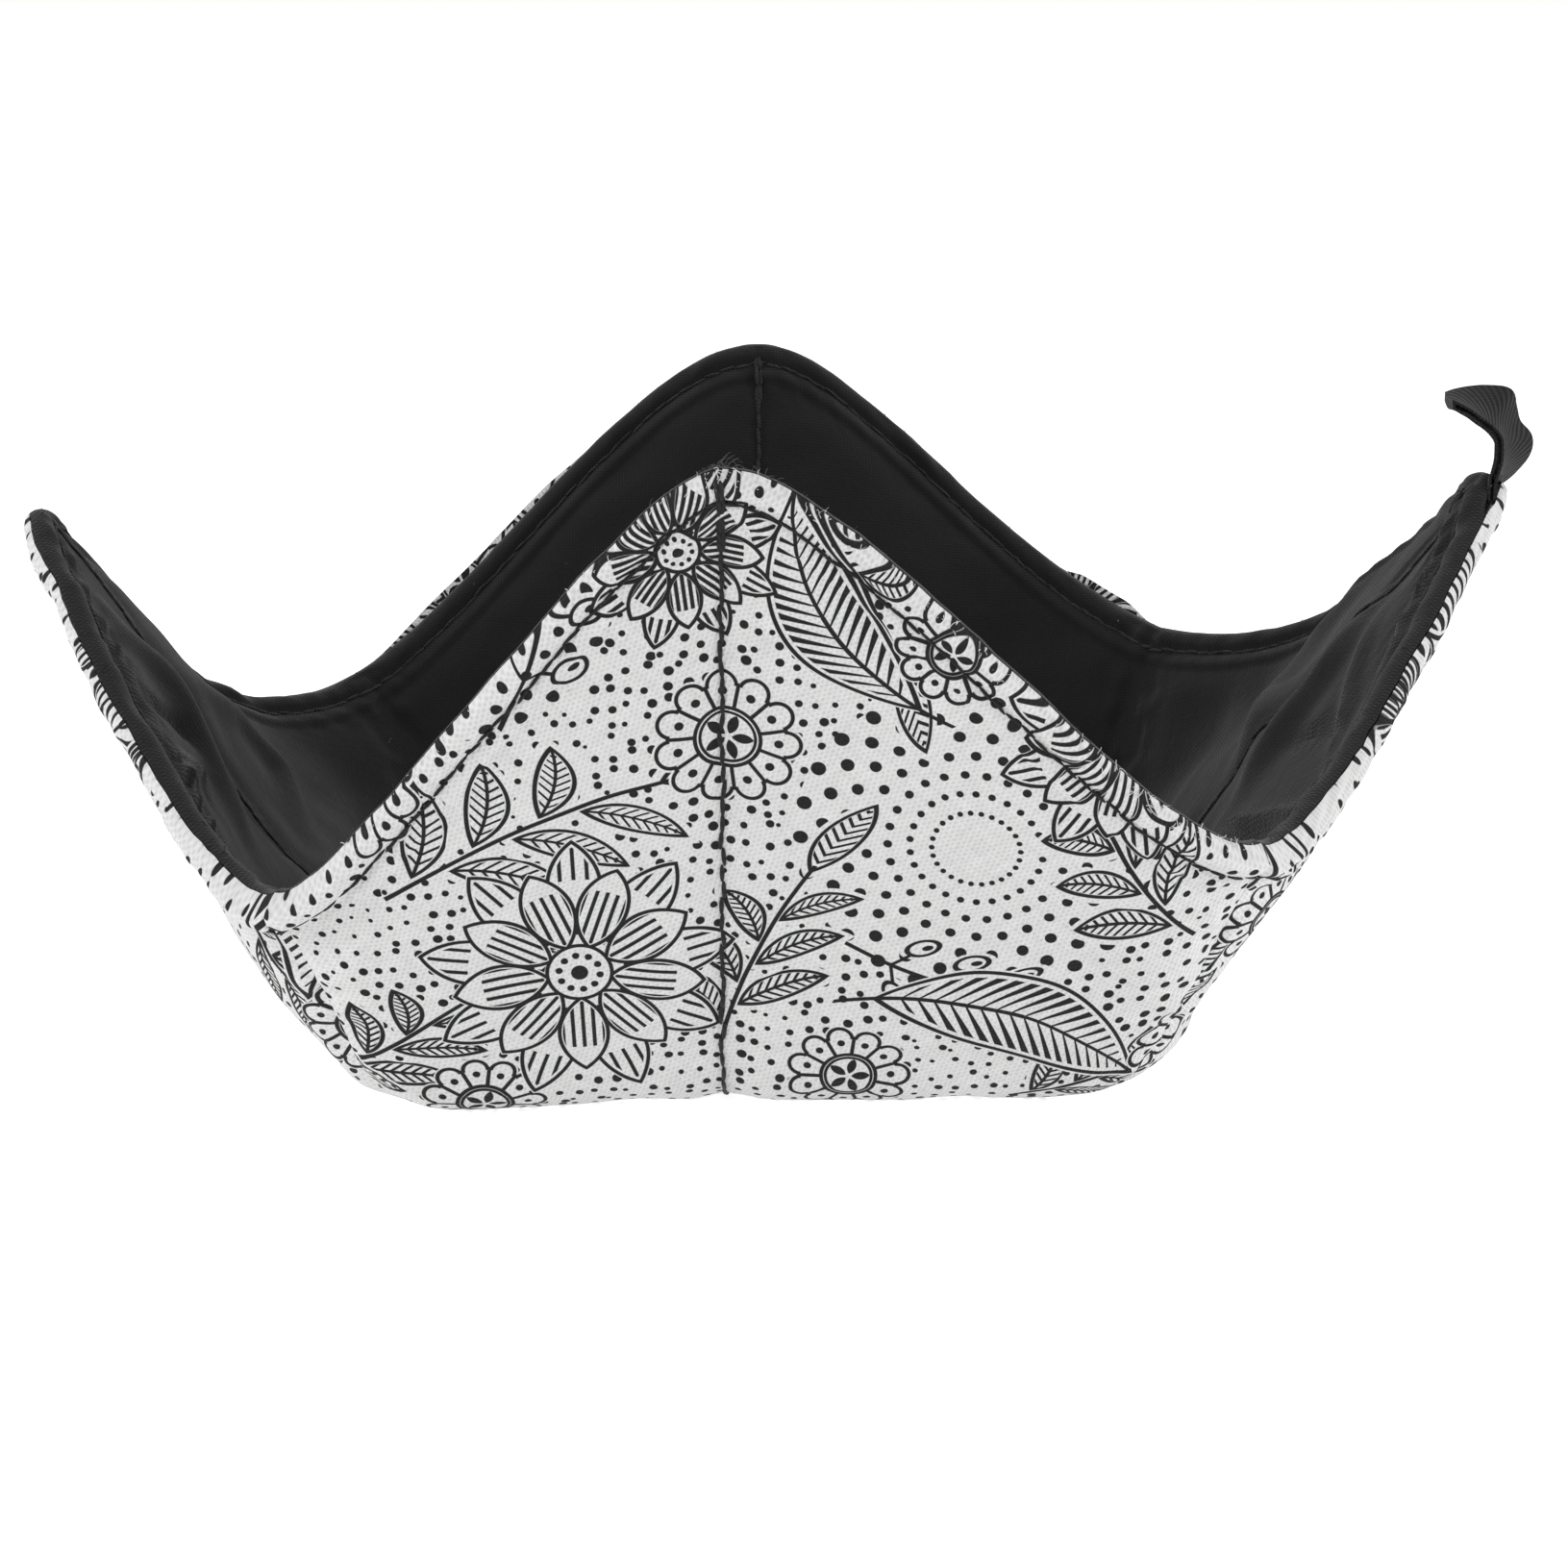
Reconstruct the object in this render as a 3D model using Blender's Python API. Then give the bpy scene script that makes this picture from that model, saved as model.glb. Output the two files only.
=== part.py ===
"""Quilted bowl cozy: a soft square of padded cloth, darted into a bowl with four standing peaks.

The cozy is sewn from two square covers, a printed canvas outside and a plain cotton lining inside.
Each cover is quilted to its own batting along both diagonals, and a dart in the middle of each side
draws the square up into a bowl. The two bowls are sewn together round the rim with the seam
allowances turned in, topstitched, and a ribbon loop is caught in the seam at the right-hand peak.

Metres, +Z up, -Y towards the front peak. The origin is on the table under the middle of the base.
"""

import math

import bmesh
import bpy
from mathutils import Vector

# The cut cloth, once its seam allowances are taken off
SQUARE_SIDE = 0.240
DART_DEPTH = 0.0415

# How the four peaks stand: how far each leans out past the base, how far its tip wanders
# anticlockwise, and how high it is
PEAKS = {
    "front": (0.0374, -0.0036, 0.1024),
    "right": (0.0612, 0.0002, 0.0850),
    "back": (0.0374, 0.0032, 0.0985),
    "left": (0.0630, -0.0006, 0.0838),
}

# How the four dips between the peaks lie, in the same way, named after the dart seams they end
DIPS = {
    "front_left": (0.0150, 0.0000, 0.0386),
    "front_right": (0.0165, -0.0010, 0.0443),
    "back_right": (0.0142, 0.0010, 0.0485),
    "back_left": (0.0182, 0.0035, 0.0430),
}

# How each half of a peak's rim sweeps: how far its dip's roundness reaches, the slope in degrees
# at which it leaves the dip, and how far the roundness of its peak reaches
RIM_SWEEPS = {
    ("front", "front_left"): (0.012, -6, 0.013),
    ("front", "front_right"): (0.022, 0, 0.019),
    ("right", "front_right"): (0.016, -30, 0.006),
    ("right", "back_right"): (0.052, -2, 0.020),
    ("back", "back_right"): (0.044, 13, 0.017),
    ("back", "back_left"): (0.032, 20, 0.022),
    ("left", "back_left"): (0.046, -18, 0.010),
    ("left", "front_left"): (0.020, -26, 0.010),
}

# How far the soft walls belly out, and where the quilting lines cross the base's edges and each other
WALL_BELLIES = {"front": 0.0010, "right": -0.0035, "back": 0.0020, "left": 0.0065}
QUILT_FEET = {"front": -0.0069, "right": 0.0, "back": 0.0035, "left": 0.0}
QUILT_CROSSING = (-0.0052, 0.0, 0.0)

# The base: how round its corners are seen from above, and how softly it turns up into the walls
BASE_CORNER_ROUND = 0.0075
BASE_SIDE_ROUND = 0.0300
BASE_TURN_UP = 0.0085

# The layers, from the outside in
CANVAS = 0.0006
BATTING = 0.0020
COTTON = 0.00045
LAYER_GAP = 0.0003

# The rim: its turned-in allowance, its stitching and how the padding thins towards it
RIM_ALLOWANCE = 0.0063
TOPSTITCH_INSET = 0.0042
RIM_NOSE = 0.0025
RIM_PADDING = 0.0008
STITCHED_PADDING = 0.00045
PADDING_SHOULDER = 0.0078
PADDING_FULL = 0.0130

# The stitched lines that pull the padding in
QUILT_PADDING = 0.0009
SEAM_PADDING = 0.0010
GROOVE_WIDTH = 0.0045
THREAD = 0.0005

# The ribbon loop at the right-hand peak
RIBBON_WIDTH = 0.0090
RIBBON_THICK = 0.0005
RIBBON_TAIL = 0.0048
RIBBON_RISE = 0.0108
RIBBON_BOW = 0.0018
RIBBON_NOD = 0.0078
RIBBON_STEPS = 3
POCKET_WIDTH = 0.0050
POCKET_FADE = 0.0060

CANVAS_WHITE = (0.80, 0.80, 0.79, 1.0)
BATTING_WHITE = (0.86, 0.85, 0.82, 1.0)
COTTON_BLACK = (0.014, 0.014, 0.015, 1.0)
RIBBON_BLACK = (0.020, 0.020, 0.021, 1.0)
THREAD_BLACK = (0.010, 0.010, 0.011, 1.0)

SIDES = ("front", "right", "back", "left")
CORNERS = ("front_left", "front_right", "back_right", "back_left")
LOOP_SIDE = "right"
BASE_HALF = (SQUARE_SIDE / 2 - DART_DEPTH) / math.sqrt(2)
WALL_HALF = LAYER_GAP / 2 + BATTING + LAYER_GAP + CANVAS
POCKET_LIFT = RIBBON_THICK + LAYER_GAP
MERGE = 1e-6
STEP = 1e-3
DOWN = Vector((0, 0, -1))

# Half a side, from its dart seam to the quilted line up its middle, is cut into these columns
HALF_SIDE_COLUMNS = (0.0, 0.10, 0.28, 0.55, 0.78, 0.92)


def mixed(a, b, share):
    return a + (b - a) * share


def eased(share):
    share = min(1.0, max(0.0, share))
    return share * share * (3 - 2 * share)


def bezier(a, b, c, d, t):
    s = 1 - t
    return a * s**3 + b * (3 * s * s * t) + c * (3 * s * t * t) + d * t**3


def heading(turn):
    """The level way out at a turn round the cozy: 0 is the front-left dart, 0.5 the front peak."""
    angle = math.radians(-135 + 90 * turn)
    return Vector((math.cos(angle), math.sin(angle), 0))


def spot(turn, out, around, up):
    """A place so far out, so far anticlockwise and so high, seen from the middle at a turn."""
    return heading(turn) * out + heading(turn + 1) * around + Vector((0, 0, up))


def peak_of(side):
    lean, around, up = PEAKS[side]
    return spot(SIDES.index(side) + 0.5, BASE_HALF + lean, around, up)


def dip_of(corner):
    lean, around, up = DIPS[corner]
    return spot(CORNERS.index(corner), (BASE_HALF + lean) * math.sqrt(2), around, up)


def rim_handles(side, corner):
    """How the rim leaves a dip for a peak, and how it comes into the peak, as Bezier handles."""
    dip_round, slope, peak_round = RIM_SWEEPS[side, corner]
    towards = 1 if SIDES.index(side) == CORNERS.index(corner) else -1
    rising = dip_round * math.sin(math.radians(slope))
    leaving = spot(CORNERS.index(corner), 0, dip_round * math.cos(math.radians(slope)) * towards, rising)
    return leaving, spot(SIDES.index(side) + 0.5, 0, -peak_round * towards, 0)


def base_side_of(side):
    bow_out = BASE_CORNER_ROUND * (1 - math.sqrt(0.5))
    return spot(SIDES.index(side) + 0.5, BASE_HALF + bow_out, QUILT_FEET[side], WALL_HALF)


def base_corner_of(corner):
    return spot(CORNERS.index(corner), BASE_HALF * math.sqrt(2), 0, WALL_HALF)


def base_handles(side, corner):
    towards = 1 if SIDES.index(side) == CORNERS.index(corner) else -1
    leaving = spot(CORNERS.index(corner), 0, BASE_CORNER_ROUND * towards, 0)
    return leaving, spot(SIDES.index(side) + 0.5, 0, -BASE_SIDE_ROUND * towards, 0)


def outline(turn, corner_of, side_of, handles):
    """A closed curve round the cozy through its four corners and a point of each of its four sides."""
    turn %= 4
    side = SIDES[int(turn)]
    share = (turn % 1) * 2
    corner = CORNERS[int(turn)] if share <= 1 else CORNERS[(int(turn) + 1) % 4]
    leaving, arriving = handles(side, corner)
    start, end = corner_of(corner), side_of(side)
    return bezier(start, start + leaving, end + arriving, end, min(share, 2 - share))


def base_edge(turn):
    return outline(turn, base_corner_of, base_side_of, base_handles)


def rim_edge(turn):
    return outline(turn, dip_of, peak_of, rim_handles)


def base_middle():
    return Vector(QUILT_CROSSING) + Vector((0, 0, WALL_HALF))


def wall_ends(turn):
    """The base's edge at a turn, and where its soft turn-up begins on the base and ends on the wall."""
    edge = base_edge(turn)
    inward = (base_middle() - edge).normalized()
    upward = (rim_edge(turn) - edge).normalized()
    return edge + inward * BASE_TURN_UP, edge, edge + upward * BASE_TURN_UP


def middle_place(turn, run):
    """A point half-way through the padding. Run 0 to 1 is the base, 1 to 2 its turn-up, 2 to 3 the wall."""
    start, edge, end = wall_ends(turn)
    if run <= 1:
        return mixed(base_middle(), start, run)
    if run <= 2:
        share = run - 1
        return mixed(mixed(start, edge, share), mixed(edge, end, share), share)
    up = run - 2
    side = int(turn % 4)
    belly = WALL_BELLIES[SIDES[side]] * 9.5 * up * (1 - up) ** 3 * math.sin(math.pi * (turn % 1))
    return mixed(end, rim_edge(turn), up) + heading(side + 0.5) * belly


def outward(turn, run):
    if run < STEP:
        return DOWN
    around = middle_place(turn + STEP, run) - middle_place(turn - STEP, run)
    up = middle_place(turn, min(3, run + STEP)) - middle_place(turn, run - STEP)
    return around.cross(up).normalized()


def run_below_rim(turn, inset):
    """The run of a point that lies this far from the rim, measured square to the rim."""
    along_rim = (rim_edge(turn + STEP) - rim_edge(turn - STEP)).normalized()
    wall = rim_edge(turn) - wall_ends(turn)[2]
    return 3 - inset / wall.cross(along_rim).length


def run_of(turn, station):
    """A station is a zone of the cloth and a place in it: a share of the zone, or an inset from the rim."""
    zone, place = station
    if zone == "base":
        return place
    if zone == "turn_up":
        return 1 + place
    if zone == "wall":
        return mixed(2, run_below_rim(turn, PADDING_FULL), place)
    return run_below_rim(turn, place)


def rim_inset(turn, run):
    if run <= 2:
        return math.inf
    return (3 - run) * RIM_NOSE / (3 - run_below_rim(turn, RIM_NOSE))


def pinch(distance):
    return math.exp(-((distance / GROOVE_WIDTH) ** 2))


def padding(turn, run):
    """How thick one batting is here: full in the open, thin under the stitching and towards the rim."""
    here = middle_place(turn, run)
    quilt_line = middle_place(math.floor(turn) + 0.5, run)
    dart_line = middle_place(round(turn), run)
    thick = mixed(BATTING, QUILT_PADDING, pinch((here - quilt_line).length))
    below_tip = eased(run - 1)
    thick = mixed(thick, min(thick, SEAM_PADDING), pinch((here - dart_line).length) * below_tip)
    inset = rim_inset(turn, run)
    if inset <= TOPSTITCH_INSET:
        at_rim = eased((TOPSTITCH_INSET - inset) / (TOPSTITCH_INSET - RIM_NOSE))
        return mixed(STITCHED_PADDING, RIM_PADDING, at_rim)
    shoulder = eased((inset - TOPSTITCH_INSET) / (PADDING_FULL - TOPSTITCH_INSET))
    return mixed(STITCHED_PADDING, thick, math.sqrt(shoulder))


def pocket(turn, run):
    """How far the layers part for the ribbon's tails, at the peak that holds the loop."""
    peak_turn = SIDES.index(LOOP_SIDE) + 0.5
    aside = (rim_edge(turn) - rim_edge(peak_turn)).length
    across = 1 - eased((aside - POCKET_WIDTH) / POCKET_FADE)
    down = 1 - eased((rim_inset(turn, run) - RIM_ALLOWANCE) / POCKET_FADE)
    return POCKET_LIFT * across * down


def skin(turn, run, cloth):
    """How far a cover's outer face is from the middle of the wall."""
    inset = rim_inset(turn, run)
    under_allowance = 1 - eased((inset - RIM_ALLOWANCE) / (PADDING_SHOULDER - RIM_ALLOWANCE))
    fold = (cloth + LAYER_GAP) * under_allowance
    full = LAYER_GAP / 2 + fold + padding(turn, run) + LAYER_GAP + cloth
    if inset < RIM_NOSE:
        full *= math.sqrt(max(0.0, 1 - (1 - inset / RIM_NOSE) ** 2))
    return full


def layer_point(turn, station, depth_of, face):
    """A point of a layer. Face is 1 for the canvas's side of the wall and -1 for the lining's."""
    run = run_of(turn, station)
    off = depth_of(turn, run) + pocket(turn, run)
    return middle_place(turn, run) + outward(turn, run) * (face * off)


BASE_STATIONS = (("base", 0), ("base", 0.4), ("base", 0.8), ("turn_up", 0), ("turn_up", 0.5))
WALL_STATIONS = (("turn_up", 1), ("wall", 0.35), ("wall", 0.7))
PADDED_STATIONS = (("rim", PADDING_FULL), ("rim", PADDING_SHOULDER), ("rim", TOPSTITCH_INSET))
BODY_STATIONS = BASE_STATIONS + WALL_STATIONS + PADDED_STATIONS
EDGE_STATION = ("rim", (TOPSTITCH_INSET + RIM_NOSE) / 2)
NOSE_STATIONS = (("rim", RIM_NOSE / 2), ("rim", RIM_NOSE / 7))


def cover_section(cloth):
    """A cover's section: up its outer face, over the rim, down its turned-in allowance and back."""

    def outer(turn, run):
        return skin(turn, run, cloth)

    def inner(turn, run):
        return skin(turn, run, cloth) - cloth

    def seam(turn, run):
        return LAYER_GAP / 2

    def seam_back(turn, run):
        return LAYER_GAP / 2 + cloth

    def fold(turn, run):
        return LAYER_GAP / 2 + cloth * 1.6

    section = [(station, outer) for station in BODY_STATIONS + (EDGE_STATION,) + NOSE_STATIONS]
    section += [(("rim", 0), seam), (("rim", RIM_NOSE), seam), (("rim", RIM_ALLOWANCE), seam)]
    section += [(("rim", RIM_ALLOWANCE), seam_back), (("rim", RIM_NOSE), seam_back)]
    section += [(("rim", cloth * 1.4), fold), (EDGE_STATION, inner)]
    section += [(station, inner) for station in reversed(BODY_STATIONS)]
    return section


def batting_section(cloth):
    """A batting's section: its face towards its cover, its cut edge, its face towards the wall's middle."""

    def outer(turn, run):
        return skin(turn, run, cloth) - cloth - LAYER_GAP

    def middle(turn, run):
        return LAYER_GAP / 2

    def over_allowance(turn, run):
        return LAYER_GAP / 2 + cloth + LAYER_GAP

    section = [(station, outer) for station in BODY_STATIONS + (EDGE_STATION,)]
    section += [(EDGE_STATION, over_allowance), (("rim", TOPSTITCH_INSET), over_allowance)]
    section += [(("rim", RIM_ALLOWANCE + LAYER_GAP), over_allowance)]
    section += [(station, middle) for station in reversed(BODY_STATIONS[:-1])]
    return section


def columns():
    """The turns that every layer is cut along, so that the layers' faces lie parallel."""
    found = []
    for side in range(len(SIDES)):
        found += [side + share / 2 for share in HALF_SIDE_COLUMNS]
        found += [side + 1 - share / 2 for share in (1.0,) + HALF_SIDE_COLUMNS[:0:-1]]
    return found


def material(name, colour, roughness):
    made = bpy.data.materials.new(name)
    made.use_nodes = True
    shader = made.node_tree.nodes["Principled BSDF"]
    shader.inputs["Base Color"].default_value = colour
    shader.inputs["Roughness"].default_value = roughness
    shader.inputs["Metallic"].default_value = 0.0
    return made


def node(name, bm, finish):
    """Closes a mesh, turns its faces outward and puts it in the scene under its node's name."""
    bmesh.ops.remove_doubles(bm, verts=bm.verts, dist=MERGE)
    bmesh.ops.dissolve_degenerate(bm, edges=bm.edges, dist=MERGE)
    bmesh.ops.recalc_face_normals(bm, faces=bm.faces)
    mesh = bpy.data.meshes.new(name)
    bm.to_mesh(mesh)
    bm.free()
    mesh.materials.append(finish)
    mesh.shade_smooth()
    mesh.set_sharp_from_angle(angle=math.radians(50))
    made = bpy.data.objects.new(name, mesh)
    bpy.context.scene.collection.objects.link(made)
    return made


def folded_grid(across, along, place, leans_right=lambda column, row: True):
    """A flat grid of cloth, each of whose corners is moved to place(column, row).

    Its squares are cut corner to corner, all with the same lean on the finished cozy, so that the
    faces of two neighbouring layers never cross.
    """
    bm = bmesh.new()
    bmesh.ops.create_grid(bm, x_segments=across, y_segments=along, size=0.5)
    leaning = {True: [], False: []}
    for face in bm.faces:
        middle = face.calc_center_median()
        column = int((middle.x + 0.5) * across)
        row = int((middle.y + 0.5) * along)
        leaning[leans_right(column, row)].append(face)
    bmesh.ops.triangulate(bm, faces=leaning[True], quad_method="FIXED")
    bmesh.ops.triangulate(bm, faces=leaning[False], quad_method="ALTERNATE")
    for vert in bm.verts:
        column = round((vert.co.x + 0.5) * across)
        row = round((vert.co.y + 0.5) * along)
        vert.co = place(column, row)
    return bm


def layer(name, section, face, finish):
    """A cover or a batting: its section carried round the cozy, column by column."""
    turns = columns()
    runs = [run_of(0.25, station) for station, depth_of in section]

    def place(column, row):
        station, depth_of = section[row]
        return layer_point(turns[column % len(turns)], station, depth_of, face)

    def rising(column, row):
        return runs[row + 1] >= runs[row]

    return node(name, folded_grid(len(turns), len(section) - 1, place, rising), finish)


def thread_centre(turn, station, cloth, face):
    """Where a thread lies on a cover: its own gap clear of the cloth, in the groove that it pulls."""
    run = run_of(turn, station)
    off = skin(turn, run, cloth) + pocket(turn, run) + LAYER_GAP + THREAD / 2
    return middle_place(turn, run) + outward(turn, run) * (face * off)


def thread_section(centre, along, out):
    """The four corners of a thread's square section."""
    aside = along.cross(out).normalized() * (THREAD / 2)
    out = out * (THREAD / 2)
    return (centre + aside + out, centre - aside + out, centre - aside - out, centre + aside - out)


def rim_topstitch(name, cloth, face, finish):
    """The line of stitching that runs right round the rim on one cover."""
    turns = columns()
    station = ("rim", TOPSTITCH_INSET)

    def place(column, row):
        turn = turns[column % len(turns)]
        along = rim_edge(turn + STEP) - rim_edge(turn - STEP)
        out = outward(turn, run_of(turn, station)) * face
        over_quilting = out * ((THREAD + LAYER_GAP) * (turn % 1 == 0.5))
        return thread_section(thread_centre(turn, station, cloth, face) + over_quilting, along, out)[row % 4]

    return node(name, folded_grid(len(turns), 4, place), finish)


def quilting_thread(name, cloth, face, finish):
    """The cross of stitching over both diagonals, grown arm by arm out of the knot in its middle."""
    bm = bmesh.new()
    bmesh.ops.create_cube(bm, size=THREAD)
    bmesh.ops.translate(bm, verts=bm.verts, vec=thread_centre(0.5, ("base", 0), cloth, face))
    stations = BODY_STATIONS[1:] + (EDGE_STATION,)
    for tip in [knot_side for knot_side in bm.faces if abs(knot_side.normal.z) < 0.5]:
        turn = max(range(4), key=lambda side: heading(side + 0.5).dot(tip.normal)) + 0.5
        before = thread_centre(turn, ("base", 0), cloth, face)
        for station in stations:
            centre = thread_centre(turn, station, cloth, face)
            tip = bmesh.ops.extrude_discrete_faces(bm, faces=[tip])["faces"][0]
            corners = thread_section(centre, centre - before, outward(turn, run_of(turn, station)))
            ways = (heading(turn + 1), outward(turn, run_of(turn, station)))
            for vert in tip.verts:
                vert.co = matching_corner(corners, centre, vert.co - before, ways)
            before = centre
    return node(name, bm, finish)


def matching_corner(corners, centre, offset, ways):
    """The corner of a thread's section that lies the same way from its centre as an earlier offset."""

    def matches(corner):
        return all(((corner - centre).dot(way) > 0) == (offset.dot(way) > 0) for way in ways)

    return next(corner for corner in corners if matches(corner))


def ribbon_spine():
    """The loop's spine from its tail in the seam to its nodding end: each a place and a width direction."""
    turn = SIDES.index(LOOP_SIDE) + 0.5
    root = rim_edge(turn)
    out, aside = heading(turn), heading(turn + 1)
    up = Vector((0, 0, 1))
    rising = (root - wall_ends(turn)[2]).normalized()
    tail = (root - rising * RIBBON_TAIL, aside)
    spine = (
        (root, aside),
        (root + rising * (RIBBON_BOW * 0.9), aside * 0.9 + out * 0.4),
        (root + out * RIBBON_BOW + up * (RIBBON_RISE * 0.5), aside * 0.75 + out * 0.66),
        (root + out * (RIBBON_BOW * 0.6) + up * (RIBBON_RISE * 0.78), aside * 0.75 + out * 0.6 + up * 0.1),
        (root - out * (RIBBON_NOD * 0.15) + up * RIBBON_RISE, out * 0.3 + aside * 0.75 + up * 0.5),
        (root - out * (RIBBON_NOD * 0.6) + up * (RIBBON_RISE * 1.02), up * 0.8 + aside * 0.55),
        (root - out * RIBBON_NOD + up * (RIBBON_RISE * 0.98), up + out * 0.1 + aside * 0.3),
    )
    places = [place for place, width in spine]
    widths = [width.normalized() for place, width in spine]
    shares = [step / RIBBON_STEPS for step in range((len(spine) - 1) * RIBBON_STEPS + 1)]
    return [tail] + [(smooth_through(places, share), smooth_through(widths, share)) for share in shares]


def smooth_through(points, share):
    """A point on the smooth curve through evenly timed points, share 1 from one to the next."""
    index = min(int(share), len(points) - 2)
    before, after = points[max(index - 1, 0)], points[min(index + 2, len(points) - 1)]
    start, end = points[index], points[index + 1]
    return bezier(start, start + (end - before) / 6, end - (after - start) / 6, end, share - index)


def hanging_loop(finish):
    """A ribbon folded in two: up one side of its spine, over the end and down the other side."""
    spine = ribbon_spine()
    apart = (RIBBON_THICK + LAYER_GAP) / 2
    ways = []
    for i, (place, width) in enumerate(spine):
        along = (spine[min(i + 1, len(spine) - 1)][0] - spine[max(i - 1, 0)][0]).normalized()
        across = (width - along * width.dot(along)).normalized()
        ways.append((place, along, across, along.cross(across)))
    path = [(place + off * apart, across, off) for place, along, across, off in ways]
    place, along, across, off = ways[-1]
    path.append((place + along * apart, across, along))
    path += [(place - off * apart, across, -off) for place, along, across, off in reversed(ways)]

    def ring(index):
        centre, across, off = path[index]
        aside = across * (RIBBON_WIDTH / 2)
        off = off * (RIBBON_THICK / 2)
        return (centre + aside + off, centre - aside + off, centre - aside - off, centre + aside - off)

    def leans_right(column, row):
        return (column < 2) == (row < len(spine))

    bm = folded_grid(4, len(path) - 1, lambda column, row: ring(row)[column % 4], leans_right)
    bmesh.ops.remove_doubles(bm, verts=bm.verts, dist=MERGE)
    bmesh.ops.holes_fill(bm, edges=[edge for edge in bm.edges if edge.is_boundary], sides=4)
    return node("hanging_loop", bm, finish)


def build():
    for old in list(bpy.data.objects):
        bpy.data.objects.remove(old)
    canvas = material("printed_canvas", CANVAS_WHITE, 0.85)
    wadding = material("cotton_batting", BATTING_WHITE, 0.95)
    cotton = material("black_cotton", COTTON_BLACK, 0.80)
    ribbon = material("black_ribbon", RIBBON_BLACK, 0.65)
    thread = material("black_thread", THREAD_BLACK, 0.60)
    layer("outer_cover", cover_section(CANVAS), 1, canvas)
    layer("outer_batting", batting_section(CANVAS), 1, wadding)
    layer("lining_batting", batting_section(COTTON), -1, wadding)
    layer("lining_cover", cover_section(COTTON), -1, cotton)
    rim_topstitch("rim_topstitch_outer", CANVAS, 1, thread)
    rim_topstitch("rim_topstitch_lining", COTTON, -1, thread)
    quilting_thread("quilting_thread_outer", CANVAS, 1, thread)
    quilting_thread("quilting_thread_lining", COTTON, -1, thread)
    hanging_loop(ribbon)


build()
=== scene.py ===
"""Dresses the quilted bowl cozy: printed canvas, black lining, stitching, ribbon loop and studio.

Run as a script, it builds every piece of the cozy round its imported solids, in metres, +Z up.
"""

import math

import bmesh
import bpy
import numpy as np
from bpy.props import FloatProperty, FloatVectorProperty, IntProperty, PointerProperty
from mathutils import Matrix, Vector


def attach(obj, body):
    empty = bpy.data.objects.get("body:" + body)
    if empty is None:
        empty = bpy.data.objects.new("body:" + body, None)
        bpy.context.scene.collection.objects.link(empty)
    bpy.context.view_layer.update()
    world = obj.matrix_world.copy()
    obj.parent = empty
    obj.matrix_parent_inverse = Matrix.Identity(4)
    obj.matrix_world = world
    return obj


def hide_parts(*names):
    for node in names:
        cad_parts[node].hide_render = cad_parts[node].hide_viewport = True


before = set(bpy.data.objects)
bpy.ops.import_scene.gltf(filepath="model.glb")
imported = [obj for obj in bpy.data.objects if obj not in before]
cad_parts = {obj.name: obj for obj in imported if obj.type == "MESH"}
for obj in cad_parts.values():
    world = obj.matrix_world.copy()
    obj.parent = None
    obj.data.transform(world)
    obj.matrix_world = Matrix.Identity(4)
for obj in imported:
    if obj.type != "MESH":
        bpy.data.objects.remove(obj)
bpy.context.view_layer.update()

bl_info = {
    "name": "Bowl cozy",
    "version": (1, 0, 0),
    "blender": (4, 5, 0),
    "location": "3D View > Sidebar > Bowl Cozy",
    "description": "Builds a quilted bowl cozy out of fine cloth, stitches, ribbon and a printed canvas",
    "category": "Object",
}

# The cut cloth and how its peaks and dips stand, as in the solids
SQUARE_SIDE = 0.240
DART_DEPTH = 0.0415
PEAKS = {
    "front": (0.0374, -0.0036, 0.1024),
    "right": (0.0612, 0.0002, 0.0850),
    "back": (0.0374, 0.0032, 0.0985),
    "left": (0.0630, -0.0006, 0.0838),
}
DIPS = {
    "front_left": (0.0150, 0.0000, 0.0386),
    "front_right": (0.0165, -0.0010, 0.0443),
    "back_right": (0.0142, 0.0010, 0.0485),
    "back_left": (0.0182, 0.0035, 0.0430),
}
RIM_SWEEPS = {
    ("front", "front_left"): (0.012, -6, 0.013),
    ("front", "front_right"): (0.022, 0, 0.019),
    ("right", "front_right"): (0.016, -30, 0.006),
    ("right", "back_right"): (0.052, -2, 0.020),
    ("back", "back_right"): (0.044, 13, 0.017),
    ("back", "back_left"): (0.032, 20, 0.022),
    ("left", "back_left"): (0.046, -18, 0.010),
    ("left", "front_left"): (0.020, -26, 0.010),
}
WALL_BELLIES = {"front": 0.0010, "right": -0.0035, "back": 0.0020, "left": 0.0065}
QUILT_FEET = {"front": -0.0069, "right": 0.0, "back": 0.0035, "left": 0.0}
QUILT_CROSSING = (-0.0052, 0.0, 0.0)
BASE_CORNER_ROUND = 0.0075
BASE_SIDE_ROUND = 0.0300
BASE_TURN_UP = 0.0085

CANVAS = 0.0006
BATTING = 0.0020
BATTING_COLUMNS = 240
COTTON = 0.00045
LAYER_GAP = 0.0003
RIM_ALLOWANCE = 0.0063
TOPSTITCH_INSET = 0.0042
RIM_NOSE = 0.0025
RIM_PADDING = 0.0008
STITCHED_PADDING = 0.00045
PADDING_SHOULDER = 0.0078
PADDING_FULL = 0.0130
QUILT_PADDING = 0.0009
SEAM_PADDING = 0.0010
GROOVE_WIDTH = 0.0045
POCKET_WIDTH = 0.0050
POCKET_FADE = 0.0060

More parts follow.
